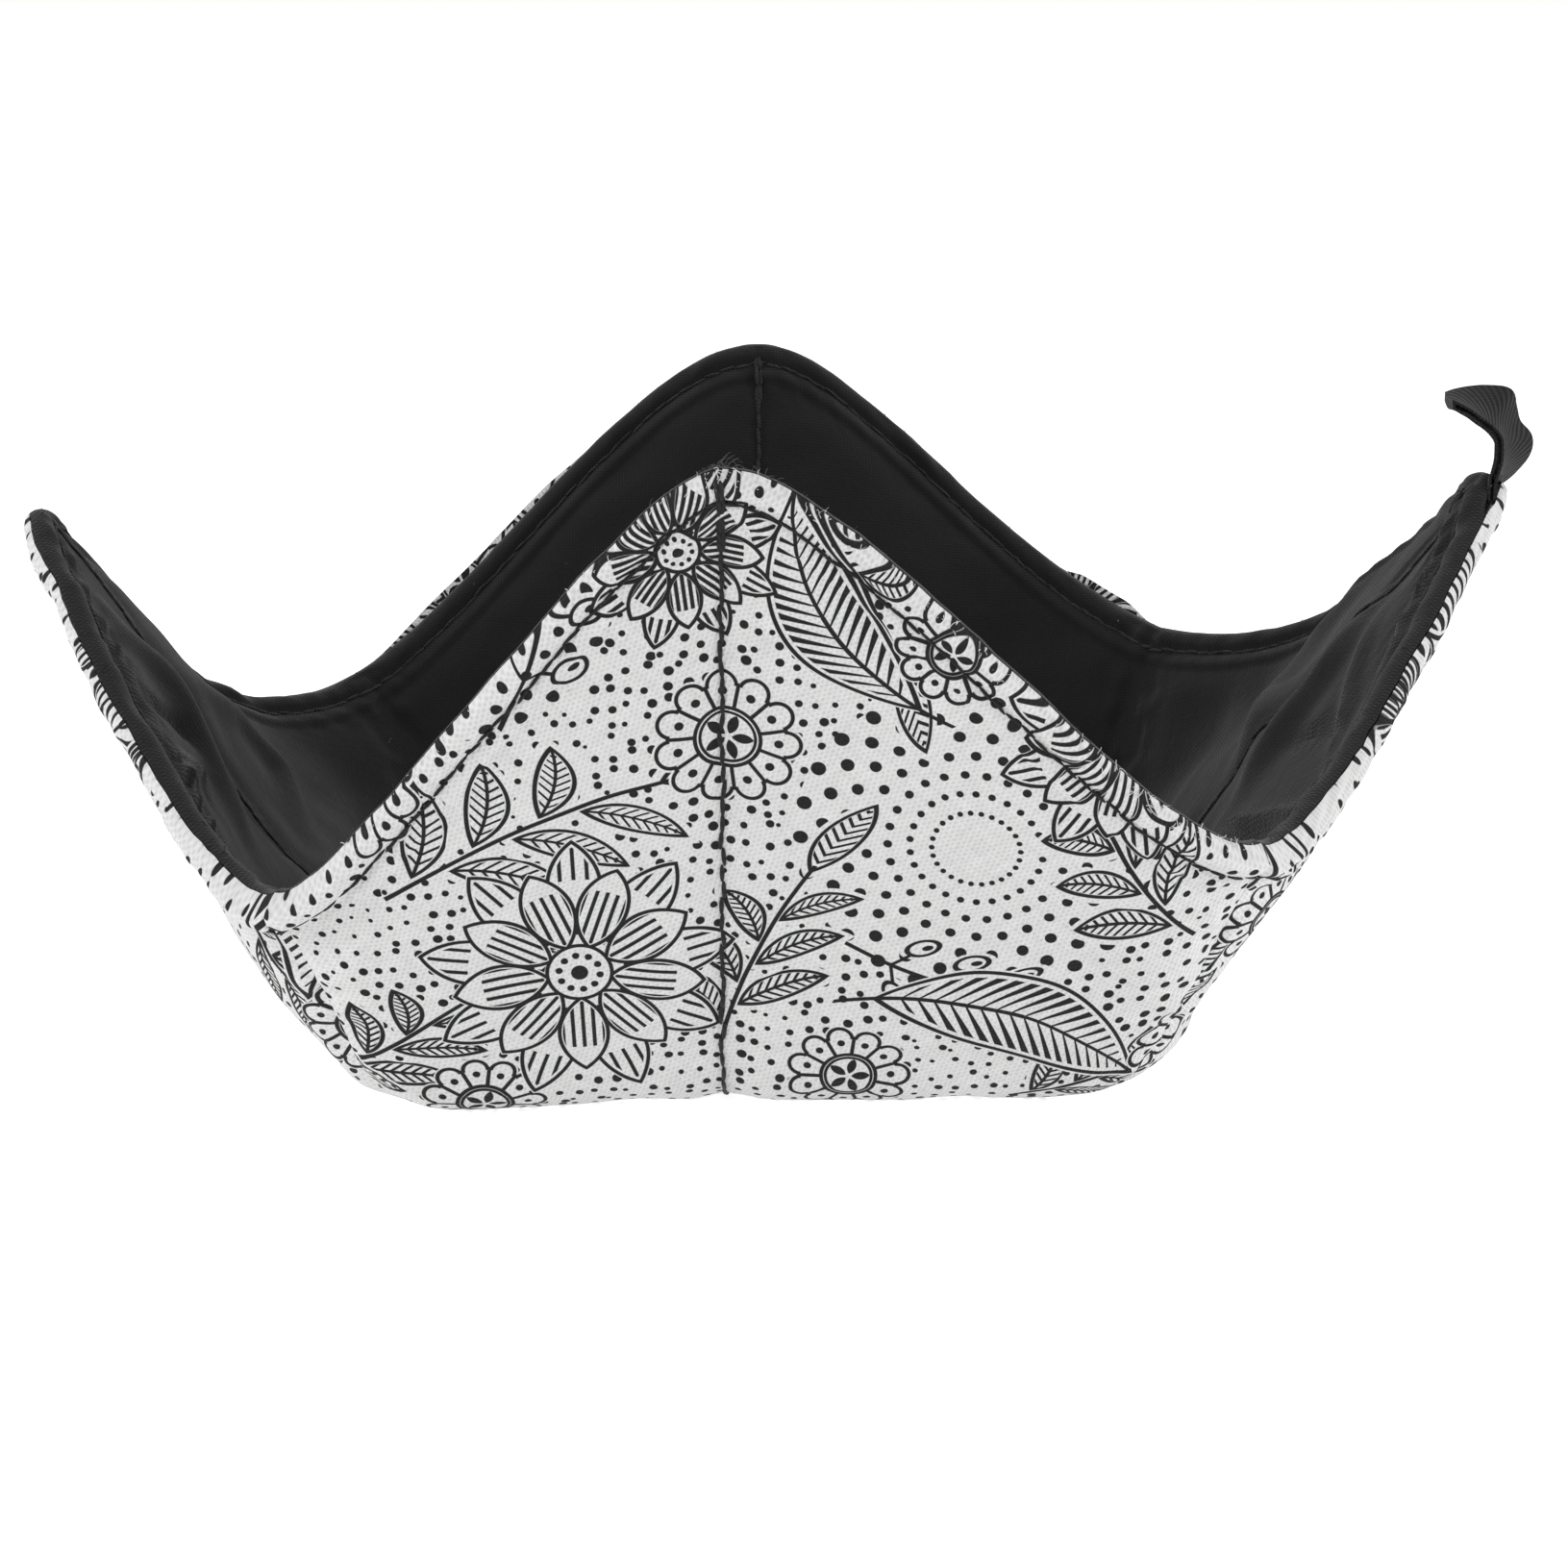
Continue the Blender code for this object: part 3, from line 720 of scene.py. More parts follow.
class Finish:
    """A material's or a node group's tree, to which nodes are added by one method."""

    def __init__(self, tree):
        self.tree = tree

    def node(self, kind, settings=(), values=()):
        made = self.tree.nodes.new("ShaderNode" + kind)
        for name, value in dict(settings).items():
            setattr(made, name, value)
        for name, value in dict(values).items():
            self.feed(made.inputs[name], value)
        return made

    def feed(self, socket, value):
        if isinstance(value, Term):
            self.tree.links.new(value.socket, socket)
        elif isinstance(value, bpy.types.NodeSocket):
            self.tree.links.new(value, socket)
        else:
            socket.default_value = value

    def term(self, socket):
        return Term(self, socket)

    def math(self, operation, *values, clamp=False):
        made = self.node("Math", {"operation": operation}, enumerate(values))
        if clamp:
            made = self.node("Clamp", (), {0: made.outputs[0]})
        return Term(self, made.outputs[0])

    def vector(self, operation, *values):
        return self.node("VectorMath", {"operation": operation}, enumerate(values))

    def length(self, x, y):
        joined = self.node("CombineXYZ", (), {0: x, 1: y})
        return Term(self, self.vector("LENGTH", joined.outputs[0]).outputs["Value"])

    def blend(self, share, first, second):
        """A colour between two others."""
        made = self.node("Mix", {"data_type": "RGBA"}, {0: share, 6: first, 7: second})
        return made.outputs[2]

    def noise(self, vector, scale, detail=2.0, roughness=0.5, distortion=0.0):
        values = {"Vector": vector, "Scale": scale, "Detail": detail, "Roughness": roughness}
        made = self.node("TexNoise", (), {**values, "Distortion": distortion})
        return Term(self, made.outputs[0])


def new_finish(name, roughness, sheen=0.0, specular=0.5):
    made = bpy.data.materials.new("fine_" + name)
    made.use_nodes = True
    shader = made.node_tree.nodes["Principled BSDF"]
    shader.inputs["Roughness"].default_value = roughness
    shader.inputs["Specular IOR Level"].default_value = specular
    shader.inputs["Sheen Weight"].default_value = sheen
    shader.inputs["Sheen Roughness"].default_value = 0.45
    return made, Finish(made.node_tree), shader


def bumped(finish, shader, height, distance, strength=1.0):
    made = finish.node("Bump", (), {"Height": height, "Distance": distance, "Strength": strength})
    finish.feed(shader.inputs["Normal"], made.outputs["Normal"])


INK_EDGE = 0.10


class Motif(Finish):
    """A group of nodes that draws one printed motif, from its own place in millimetres and its size."""

    def __init__(self, name):
        tree = bpy.data.node_groups.new(name, "ShaderNodeTree")
        super().__init__(tree)
        for socket, kind in (("Place", "Vector"), ("Size", "Float"), ("Line", "Float")):
            tree.interface.new_socket(name=socket, in_out="INPUT", socket_type="NodeSocket" + kind)
        for socket in ("Ink", "Clear"):
            tree.interface.new_socket(name=socket, in_out="OUTPUT", socket_type="NodeSocketFloat")
        self.inputs = tree.nodes.new("NodeGroupInput").outputs
        self.outputs = tree.nodes.new("NodeGroupOutput").inputs
        self.size = self.term(self.inputs["Size"])
        shrunk = self.vector("SCALE", self.inputs["Place"])
        self.feed(shrunk.inputs["Scale"], 1.0 / self.size)
        apart = self.node("SeparateXYZ", (), {0: shrunk.outputs[0]})
        self.x, self.y = self.term(apart.outputs[0]), self.term(apart.outputs[1])
        self.sharp = self.size * (-1.0 / INK_EDGE)
        self.line_start = self.math("MULTIPLY_ADD", self.inputs["Line"], 0.5 / INK_EDGE, 0.5)

    def line(self, distance, thick=1.0):
        """Ink along where a distance is nought."""
        start = self.line_start if thick == 1.0 else (self.line_start - 0.5) * thick + 0.5
        return self.math("MULTIPLY_ADD", abs(distance), self.sharp, start, clamp=True)

    def inside(self, distance):
        """One where a distance is below nought."""
        return self.math("MULTIPLY_ADD", distance, self.sharp, 0.5, clamp=True)

    def petal(self, along, across, start, end, half_width):
        """How far a point is outside a petal pointed at both ends, its across already folded."""
        half = (end - start) / 2
        radius = (half * half + half_width * half_width) / (2 * half_width)
        drop = radius - half_width
        return self.length(along - (start + end) / 2, across + drop) - radius

    def polar(self):
        radius = self.length(self.x, self.y)
        return radius, self.y.math("ARCTAN2", self.x)

    def sector(self, radius, angle, count, shift=0.0):
        """A point folded into one of so many equal sectors: along its middle line, and across it."""
        turned = (angle + shift).wrapped(math.tau / count)
        return radius * turned.math("COSINE"), abs(radius * turned.math("SINE"))

    def finish(self, ink, covered):
        self.feed(self.outputs["Ink"], ink)
        self.feed(self.outputs["Clear"], 1.0 - covered)
        return self.tree


def daisy_motif():
    """A flower with two rings of pointed, ribbed petals round a seeded middle."""
    m = Motif("daisy")
    radius, angle = m.polar()
    along, across = m.sector(radius, angle, 9)
    front = m.petal(along, across, 0.20, 0.80, 0.155)
    ribs = m.line(across.wrapped(0.066)) * m.inside(front + 0.02) * m.inside(radius - 0.62)
    back_along, back_across = m.sector(radius, angle, 9, math.pi / 9)
    back = m.petal(back_along, back_across, 0.30, 1.00, 0.165)
    back_ribs = m.line(back_across.wrapped(0.085)) * m.inside(back + 0.03) * m.inside(0.70 - radius)
    behind = m.line(back).most(back_ribs) * (1.0 - m.inside(front))
    seeds = m.length((angle * 0.13).wrapped(math.tau * 0.13 / 10), (radius - 0.13)) - 0.024
    eye = m.line(radius - 0.205).most(m.inside(seeds)).most(m.inside(radius - 0.055))
    petals = behind.most(m.line(front)).most(ribs) * (1.0 - m.inside(radius - 0.20))
    covered = m.inside(front.least(back).least(radius - 0.2) - 0.02)
    return m.finish(petals.most(eye), covered)


def rosette_motif():
    """A round flower with scalloped lobes, a ring and a dot in each lobe."""
    m = Motif("rosette")
    radius, angle = m.polar()
    along, across = m.sector(radius, angle, 11)
    lobe = (m.length(along - 0.80, across) - 0.20).least(radius - 0.82)
    parting = m.line(along * math.sin(math.pi / 11) - across * math.cos(math.pi / 11))
    parting = parting * m.inside(0.45 - radius) * m.inside(lobe)
    dot = m.inside(m.length(along - 0.70, across) - 0.065)
    ring = m.line(radius - 0.45).most(m.line(radius - 0.38, 0.8))
    star = m.petal(*m.sector(radius, angle, 5), 0.05, 0.36, 0.075)
    ink = m.line(lobe).most(parting).most(dot).most(ring).most(m.inside(star))
    return m.finish(ink, m.inside(lobe - 0.06))


def sprig_motif():
    """A bending stem with alternate leaves, each half hatched, and one leaf at its tip."""
    m = Motif("sprig")
    y = m.y - m.x * m.x * 0.22
    lower = y < 0.0
    side = abs(y)
    lean = math.radians(48)
    shifted = m.x - side / math.tan(lean) + lower * 0.115
    local = shifted.wrapped(0.23)
    root = shifted - local
    shrink = 1.0 - root * 0.38
    along = (local * math.cos(lean) + side / math.sin(lean)) / shrink
    across = local * math.sin(lean) / shrink
    bent = across + (along - 0.2) * (along - 0.2) * 0.9 - 0.02
    leaf = m.petal(along, abs(bent), 0.03, 0.43, 0.072) * shrink
    valid = (root > 0.05) * (root < 0.86)
    hatch = m.line((along - abs(bent) * 0.9).wrapped(0.042)) * m.inside(leaf + 0.01)
    ink = m.line(leaf).most(hatch).most(m.line(bent) * m.inside(leaf))
    ink = ink * valid
    covered = m.inside(leaf - 0.03) * valid
    tip = m.petal(m.x, side, 0.96, 1.34, 0.075)
    tip_hatch = m.line((m.x - side * 0.9).wrapped(0.042)) * m.inside(tip + 0.01)
    tip_ink = m.line(tip).most(tip_hatch)
    stem = m.line(y, 1.15) * (m.x > 0.0) * (m.x < 0.99)
    return m.finish(ink.most(stem).most(tip_ink), covered.most(m.inside(tip - 0.03)).most(stem))


def leaf_motif():
    """One broad bent leaf with dark strokes from its midrib to its edge."""
    m = Motif("broad_leaf")
    y = m.y - m.x * m.x * 0.30
    side = abs(y)
    leaf = m.petal(m.x, side, -1.0, 1.0, 0.36)
    stroke = (m.x - side * 0.85).wrapped(0.105)
    strokes = m.inside(abs(stroke) - side * 0.085 - 0.008) * m.inside(leaf + 0.045)
    stalk = m.line(y, 1.2) * (m.x > -1.25) * m.inside(m.x)
    ink = m.line(leaf, 1.1).most(strokes).most(m.line(y) * m.inside(leaf)).most(stalk)
    return m.finish(ink, m.inside(leaf - 0.03).most(stalk))


def burst_motif():
    """Rings of dots that grow outwards."""
    m = Motif("dot_burst")
    radius, angle = m.polar()
    ring = radius.wrapped(0.125)
    index = (radius - ring) * 8.0
    turned = (angle + index * (math.pi / 26)).wrapped(math.tau / 26) * radius
    dot = m.length(turned, ring) - (radius * 0.036 + 0.008)
    wide = (radius < 1.06) * (radius > 0.20)
    return m.finish(m.inside(dot) * wide, m.inside(radius - 1.04))


def berry_motif():
    """A twig of round berries on short stalks, set in opposite pairs."""
    m = Motif("berries")
    y = m.y + m.x * m.x * 0.18
    side = abs(y)
    local = (m.x - side * 0.6).wrapped(0.27)
    root = m.x - side * 0.6 - local
    valid = (root > 0.1) * (root < 0.95)
    berry = m.length(local, side - 0.17) - 0.062
    core = m.inside(m.length(local - 0.015, side - 0.18) - 0.022)
    stalk = m.line(local) * (side < 0.11)
    tip = m.length(m.x - 1.12, y) - 0.075
    stem = m.line(y, 1.15) * (m.x > 0.0) * (m.x < 1.05)
    ink = m.line(berry).most(core).most(stalk) * valid
    ink = ink.most(stem).most(m.line(tip)).most(m.inside(tip + 0.05))
    covered = (m.inside(berry - 0.03) * valid).most(m.inside(tip - 0.03)).most(stem)
    return m.finish(ink, covered)


# The background dots' spacing, the print's repeat in millimetres, and its motifs from the back to
# the front: each motif's place on the flat cloth, its turn in degrees and its size
DOT_PITCH = 2.7
PRINT_REPEAT = (132.0, 116.0)
PRINT_LAYOUT = (
    ("dot_burst", 31, -106, 0, 25),
    ("dot_burst", -42, -148, 10, 22),
    ("sprig", -54, -98, -36, 45),
    ("sprig", 62, -88, -128, 38),
    ("sprig", -7, -68, -78, 36),
    ("sprig", 3, -166, 48, 35),
    ("sprig", -64, -58, -58, 33),
    ("sprig", 36, -58, -22, 31),
    ("berries", -36, -126, -62, 34),
    ("berries", 12, -88, 28, 27),
    ("broad_leaf", 10, -142, -118, 18),
    ("broad_leaf", 38, -76, 24, 21),
    ("broad_leaf", -62, -144, -70, 22),
    ("rosette", -58, -116, 8, 10),
    ("rosette", 12, -64, 0, 9),
    ("rosette", 63, -64, 15, 8.5),
    ("rosette", -4, -122, 4, 10.5),
    ("rosette", 28, -138, 20, 8),
    ("rosette", -42, -60, 0, 8.5),
    ("daisy", -27, -84, 10, 23),
    ("daisy", 53, -124, 25, 19),
    ("daisy", -10, -152, 5, 15),
)


def printed_canvas():
    made, finish, shader = new_finish("printed_canvas", 0.92, 0.03, 0.10)
    flat = finish.node("UVMap", {"uv_map": "flat"}).outputs[0]
    on_print = finish.vector("MULTIPLY", flat, (1000.0, 1000.0, 0.0)).outputs[0]
    motifs = {
        "daisy": daisy_motif(),
        "rosette": rosette_motif(),
        "sprig": sprig_motif(),
        "broad_leaf": leaf_motif(),
        "dot_burst": burst_motif(),
        "berries": berry_motif(),
    }
    wide, high = PRINT_REPEAT
    line = sizes().print_line * 1000
    dots = finish.node(
        "TexVoronoi",
        {"voronoi_dimensions": "2D", "feature": "F1"},
        {"Vector": on_print, "Scale": 1 / DOT_PITCH, "Randomness": 0.68},
    )
    pick = finish.node("SeparateColor", (), {0: dots.outputs["Color"]}).outputs[0]
    drift = finish.noise(finish.vector("MULTIPLY", on_print, (0.05, 0.05, 0.0)).outputs[0], 1.0, 1.0)
    dot_size = finish.term(pick) * 0.12 + (drift - 0.5) * 0.26 + 0.145
    sharp = DOT_PITCH / INK_EDGE
    ink = finish.math("MULTIPLY_ADD", dot_size - dots.outputs["Distance"], sharp, 0.5, clamp=True)
    for name, x, y, turned, size in PRINT_LAYOUT:
        moved = finish.vector("SUBTRACT", on_print, (x, y, 0.0)).outputs[0]
        near = finish.vector("WRAP", moved, (wide / 2, high / 2, 1.0), (-wide / 2, -high / 2, -1.0))
        place = finish.node(
            "Mapping",
            {"vector_type": "TEXTURE"},
            {"Vector": near.outputs[0], "Rotation": (0.0, 0.0, math.radians(turned))},
        )
        group = finish.tree.nodes.new("ShaderNodeGroup")
        group.node_tree = motifs[name]
        finish.feed(group.inputs["Place"], place.outputs[0])
        group.inputs["Size"].default_value = size
        group.inputs["Line"].default_value = line
        ink = finish.math("MULTIPLY_ADD", ink, group.outputs["Clear"], group.outputs["Ink"], clamp=True)
    yarns, height = canvas_weave(finish, flat, sizes().weave, sizes().weave * 0.55)
    # Painted shade: the canvas ground is darker where the weave lies low between its yarns; the slub
    # variation in it is the yarn's own.
    ground = finish.blend(yarns, (*[c * 0.72 for c in colours().canvas], 1), (*colours().canvas, 1))
    printed = finish.blend(ink * (0.975 + yarns * 0.02), ground, (*colours().ink, 1))
    finish.feed(shader.inputs["Base Color"], printed)
    bumped(finish, shader, height, 0.00014, 0.8)
    return made


def canvas_weave(finish, flat, thick_way, thin_way):
    """A plain weave along the square's edges: how bright its yarns are, which is painted shade darkening
    them where the weave lies low plus their own slub unevenness, and how high.
    """
    turned = finish.node("Mapping", (), {"Vector": flat, "Rotation": (0.0, 0.0, math.radians(45))})
    stray = finish.noise(finish.vector("MULTIPLY", flat, (160, 160, 1)).outputs[0], 1.0, 1.0)
    apart = finish.node("SeparateXYZ", (), {0: turned.outputs[0]})
    across = finish.term(apart.outputs[0]) + stray * (thick_way * 0.7)
    along = finish.term(apart.outputs[1]) + stray * (thick_way * 0.5)
    over = (across * (math.pi / thick_way)).math("SINE") * (along * (math.pi / thin_way)).math("SINE")
    yarn = (across * (math.tau / thick_way)).math("COSINE")
    slub_a = finish.noise(finish.vector("MULTIPLY", turned.outputs[0], (1500, 160, 1)).outputs[0], 1.0)
    slub_b = finish.noise(finish.vector("MULTIPLY", turned.outputs[0], (160, 1500, 1)).outputs[0], 1.0)
    uneven = slub_a + slub_b - 1.0
    height = over * 0.62 + yarn * 0.16
    # The brightness is partly painted shade, lower where the weave lies low between the yarns, and partly
    # the yarns' own slub unevenness.
    return (height * 0.5 + 0.5 + uneven * 0.7).held(), height + uneven * 0.9


def black_cotton():
    made, finish, shader = new_finish("black_cotton", 0.85, 0.23, 0.18)
    flat = finish.node("UVMap", {"uv_map": "flat"}).outputs[0]
    yarns, height = canvas_weave(finish, flat, 0.00040, 0.00036)
    place = finish.node("TexCoord").outputs["Object"]
    worn = finish.noise(place, 45.0, 3.0)
    base = colours().lining
    plain = finish.blend(worn, (*[c * 0.8 for c in base], 1), (*[c * 1.35 for c in base], 1))
    lint = finish.noise(place, 900.0, 1.0) > 0.82
    finish.feed(shader.inputs["Base Color"], finish.blend(lint * 0.22, plain, (0.35, 0.35, 0.35, 1)))
    creases = finish.noise(place, 190.0, 3.0, 0.6, 0.6)
    bumped(finish, shader, height * 0.3 + creases * 1.1, 0.00022, 0.8)
    return made


def cotton_batting():
    made, finish, shader = new_finish("cotton_batting", 0.95, 0.2, 0.2)
    place = finish.node("TexCoord").outputs["Object"]
    fluff = finish.noise(place, 600.0, 4.0, 0.7)
    base = colours().batting
    finish.feed(
        shader.inputs["Base Color"],
        finish.blend(fluff, (*[c * 0.85 for c in base], 1), (*base, 1)),
    )
    bumped(finish, shader, fluff, 0.0004)
    return made


def black_ribbon():
    made, finish, shader = new_finish("black_ribbon", 0.80, 0.10, 0.20)
    flat = finish.node("UVMap", {"uv_map": "flat"}).outputs[0]
    apart = finish.node("SeparateXYZ", (), {0: flat})
    across, along = finish.term(apart.outputs[0]), finish.term(apart.outputs[1])
    rib = ((along + across * 0.55) * (math.tau / 0.00085)).math("SINE") * 0.5 + 0.5
    yarn = ((across - along * 0.2) * (math.tau / 0.00035)).math("SINE") * 0.5 + 0.5
    base = colours().ribbon
    # Painted shade: the ribbon is darker in the furrows between its ribs and yarns and lighter on their
    # tops, following the same waves as the bump.
    bright = rib * 0.75 + yarn * 0.25
    finish.feed(
        shader.inputs["Base Color"],
        finish.blend(bright, (*[c * 0.50 for c in base], 1), (*[c * 1.15 for c in base], 1)),
    )
    bumped(finish, shader, rib + yarn * 0.25, 0.00016)
    return made


def black_thread():
    made, finish, shader = new_finish("black_thread", 0.70, 0.10, 0.25)
    place = finish.node("TexCoord").outputs["Object"]
    twist = finish.node(
        "TexWave", {"wave_type": "BANDS", "bands_direction": "DIAGONAL"}, {"Vector": place, "Scale": 700.0}
    )
    # Painted shade along the twist: the thread is darker in the grooves between its plies and lighter on
    # their ridges, following the same bands as the bump.
    ply_relief_and_shade = finish.term(twist.outputs[1])
    base = colours().thread
    finish.feed(
        shader.inputs["Base Color"],
        finish.blend(ply_relief_and_shade, (*[c * 0.5 for c in base], 1), (*[c * 1.2 for c in base], 1)),
    )
    bumped(finish, shader, ply_relief_and_shade, 0.0001)
    return made


def finish_named(name):
    """A finish of the cozy, made the first time that a piece asks for it."""
    return bpy.data.materials.get("fine_" + name) or FINISHES[name]()


FINISHES = {
    "pale_yarn": lambda: plain_yarn("pale_yarn", colours().canvas),
    "grey_yarn": lambda: plain_yarn("grey_yarn", [c * 9 for c in colours().thread]),
    "dark_yarn": lambda: plain_yarn("dark_yarn", colours().thread),
    "printed_canvas": printed_canvas,
    "black_cotton": black_cotton,
    "cotton_batting": cotton_batting,
    "black_ribbon": black_ribbon,
    "black_thread": black_thread,
}


# -------------------------------------------------------------- operators


class CozyOperator:
    """What the cozy's operators share."""

    bl_options = {"REGISTER", "UNDO"}

    @classmethod
    def poll(cls, context):
        return context.scene is not None


class BOWL_COZY_OT_outer_cover(CozyOperator, bpy.types.Operator):
    """Makes the printed canvas cover with its turned-in rim"""

    bl_idname = "bowl_cozy.outer_cover"
    bl_label = "Outer Cover"

    def execute(self, context):
        cover = sewn_layer(
            "fine_outer_cover", cover_rows(), sizes().columns, 1, 0.0, finish_named("printed_canvas")
        )
        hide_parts("outer_cover")
        return {"FINISHED"}


class BOWL_COZY_OT_lining_cover(CozyOperator, bpy.types.Operator):
    """Makes the black cotton lining with its folds and puckers"""

    bl_idname = "bowl_cozy.lining_cover"
    bl_label = "Lining Cover"

    def execute(self, context):
        cover = sewn_layer(
            "fine_lining_cover", cover_rows(), sizes().columns, -1, 0.0, finish_named("black_cotton")
        )
        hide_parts("lining_cover")
        return {"FINISHED"}


class BOWL_COZY_OT_battings(CozyOperator, bpy.types.Operator):
    """Makes the two layers of wadding between the covers"""

    bl_idname = "bowl_cozy.battings"
    bl_label = "Battings"

    def execute(self, context):
        for face, node in ((1, "outer_batting"), (-1, "lining_batting")):
            wadding = finish_named("cotton_batting")
            made = sewn_layer("fine_" + node, batting_rows(), BATTING_COLUMNS, face, LAYER_GAP, wadding)
            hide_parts(node)
        return {"FINISHED"}


class BOWL_COZY_OT_rim_topstitches(CozyOperator, bpy.types.Operator):
    """Sews the line of stitches round the rim on both covers"""

    bl_idname = "bowl_cozy.rim_topstitches"
    bl_label = "Rim Topstitches"

    def execute(self, context):
        for face, node in ((1, "rim_topstitch_outer"), (-1, "rim_topstitch_lining")):
            turns = np.linspace(0, 4, 2401)
            turn, run = evenly(turns, run_below_rim(turns, TOPSTITCH_INSET), sizes().stitch_pitch)
            path = surface_path(turn, run, face, sizes().thread * 0.28)
            bm = bmesh.new()
            add_stitches(bm, path, sizes().stitch * 1.22, sizes().thread * 1.1, 21 + face)
            made = shown("fine_" + node, bm, finish_named("black_thread"))
            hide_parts(node)
        return {"FINISHED"}


# How far below the rim the quilting stops at each peak; at the front it runs on to the tip
QUILT_TOPS = (0.0008, 0.0022, 0.0022, 0.0022)
# How far below the rim the doubled stitches that tie it off begin, and how far apart its rows lie
QUILT_TIE = 0.0115
QUILT_ROWS = (0.00030, -0.00028)


class BOWL_COZY_OT_quilting(CozyOperator, bpy.types.Operator):
    """Sews the cross of quilting over both diagonals of each cover"""

    bl_idname = "bowl_cozy.quilting"
    bl_label = "Quilting"

    def execute(self, context):
        for face, node in ((1, "quilting_thread_outer"), (-1, "quilting_thread_lining")):
            bm = bmesh.new()
            for side in range(4):
                turn = np.full(500, side + 0.5)
                top = float(run_below_rim(np.array([side + 0.5]), QUILT_TOPS[side])[0])
                tied = float(run_below_rim(np.array([side + 0.5]), QUILT_TIE)[0])
                for start, shift in ((0.004, 0.0), (tied, QUILT_ROWS[0]), (tied, QUILT_ROWS[1])):
                    line = evenly(turn, np.linspace(start, top, 500), sizes().stitch_pitch)
                    path = surface_path(*line, face, sizes().thread * 0.30, shift)
                    add_stitches(bm, path, sizes().stitch * 1.30, sizes().thread * 1.35, 31 + side)
            made = shown("fine_" + node, bm, finish_named("black_thread"))
            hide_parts(node)
        return {"FINISHED"}


# The doubled ribbon's two edges from the seam up and over to its fold, in millimetres out, back and
# up from the peak's tip: the edge nearer the front and the one farther off
RIBBON_EDGES = (
    ((-1.6, -4.6, -3.0), (-1.2, 4.6, -3.0)),
    ((-1.4, -4.2, 0.6), (1.0, 4.2, -0.9)),
    ((-1.2, -4.0, 1.4), (2.9, 4.0, 0.8)),
    ((-0.7, -3.7, 3.4), (5.0, 3.6, 3.6)),
    ((-0.6, -3.6, 5.6), (5.2, 3.4, 6.2)),
    ((-0.8, -3.9, 6.8), (3.4, 3.7, 8.4)),
    ((-1.6, -3.9, 7.9), (2.7, 3.7, 10.9)),
    ((-2.6, -3.3, 8.8), (1.9, 3.3, 13.4)),
    ((-3.9, -4.1, 9.8), (-1.3, 3.9, 13.8)),
    ((-5.4, -4.4, 11.0), (-4.0, 4.4, 13.6)),
    ((-6.9, -4.6, 11.9), (-6.2, 4.6, 13.2)),
    ((-7.7, -4.6, 12.4), (-7.5, 4.6, 12.8)),
)
# Half the gap between the ribbon's two layers, at such shares of the way from the seam to the fold
RIBBON_APART_AT = (0.0, 0.2, 0.6, 0.93, 1.0)
RIBBON_APART = (0.00027, 0.00029, 0.00032, 0.00030, 0.00027)
RIBBON_ACROSS = 16
RIBBON_STEPS = 7
RIBBON_WIDTH = 0.0093
RIBBON_THICK = 0.0004
RIBBON_HOLLOW = 0.00060
RIBBON_RIPPLE = 0.00005


class BOWL_COZY_OT_hanging_loop(CozyOperator, bpy.types.Operator):
    """Folds the ribbon in two and catches it in the seam at the right-hand peak"""

    bl_idname = "bowl_cozy.hanging_loop"
    bl_label = "Hanging Loop"

    def execute(self, context):
        ways = np.stack([heading(LOOP_TURN), heading(LOOP_TURN + 1), UP])
        root = Wall(np.array([LOOP_TURN]), np.array([3.0])).middle[0]
        near, far = (
            smooth_through(np.array([pair[i] for pair in RIBBON_EDGES]) * 0.001 @ ways + root, RIBBON_STEPS)
            for i in (0, 1)
        )
        along = unit(np.gradient((near + far) / 2, axis=0))
        width = unit(far - near)
        off = unit(np.cross(along, width))
        apart = np.interp(np.linspace(0, 1, len(near)), RIBBON_APART_AT, RIBBON_APART)
        rising = (near, far, off, apart, along)
        slip = width * 0.0003 - off * 0.0001
        falling = (near[::-1] + slip[::-1], far[::-1] + slip[::-1], off[::-1], -apart[::-1], along[::-1])
        rows = []
        for near_edge, far_edge, way, lift, forward in (rising, falling):
            for i in range(len(near_edge)):
                share = np.linspace(0, 1, RIBBON_ACROSS + 1)
                side = 1.0 if lift[i] >= 0 else -1.0
                hollow = RIBBON_HOLLOW * np.sin(share * math.pi)
                hollow = hollow - RIBBON_RIPPLE * np.sin(share * math.tau) * side
                row = mixed(near_edge[i], far_edge[i], share[:, None])
                rows.append(row + way[i] * (lift[i] + hollow)[:, None])
        rows = np.array(rows)
        centres = rows.mean(axis=1)
        steps = np.concatenate([[0], np.cumsum(size_of(np.diff(centres, axis=0)))])
        bm = bmesh.new()
        bmesh.ops.create_grid(bm, x_segments=RIBBON_ACROSS, y_segments=len(rows) - 1, size=0.5)
        flat = bm.loops.layers.uv.new("flat")
        for vert in bm.verts:
            row = round((vert.co.y + 0.5) * (len(rows) - 1))
            column = round((vert.co.x + 0.5) * RIBBON_ACROSS)
            for loop in vert.link_loops:
                loop[flat].uv = (vert.co.x * RIBBON_WIDTH, steps[row])
            vert.co = rows[row, column]
        bmesh.ops.recalc_face_normals(bm, faces=bm.faces)
        bmesh.ops.solidify(bm, geom=bm.faces[:] + bm.edges[:] + bm.verts[:], thickness=RIBBON_THICK)
        bmesh.ops.recalc_face_normals(bm, faces=bm.faces)
        made = shown("fine_hanging_loop", bm, finish_named("black_ribbon"), 50)
        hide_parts("hanging_loop")
        return {"FINISHED"}


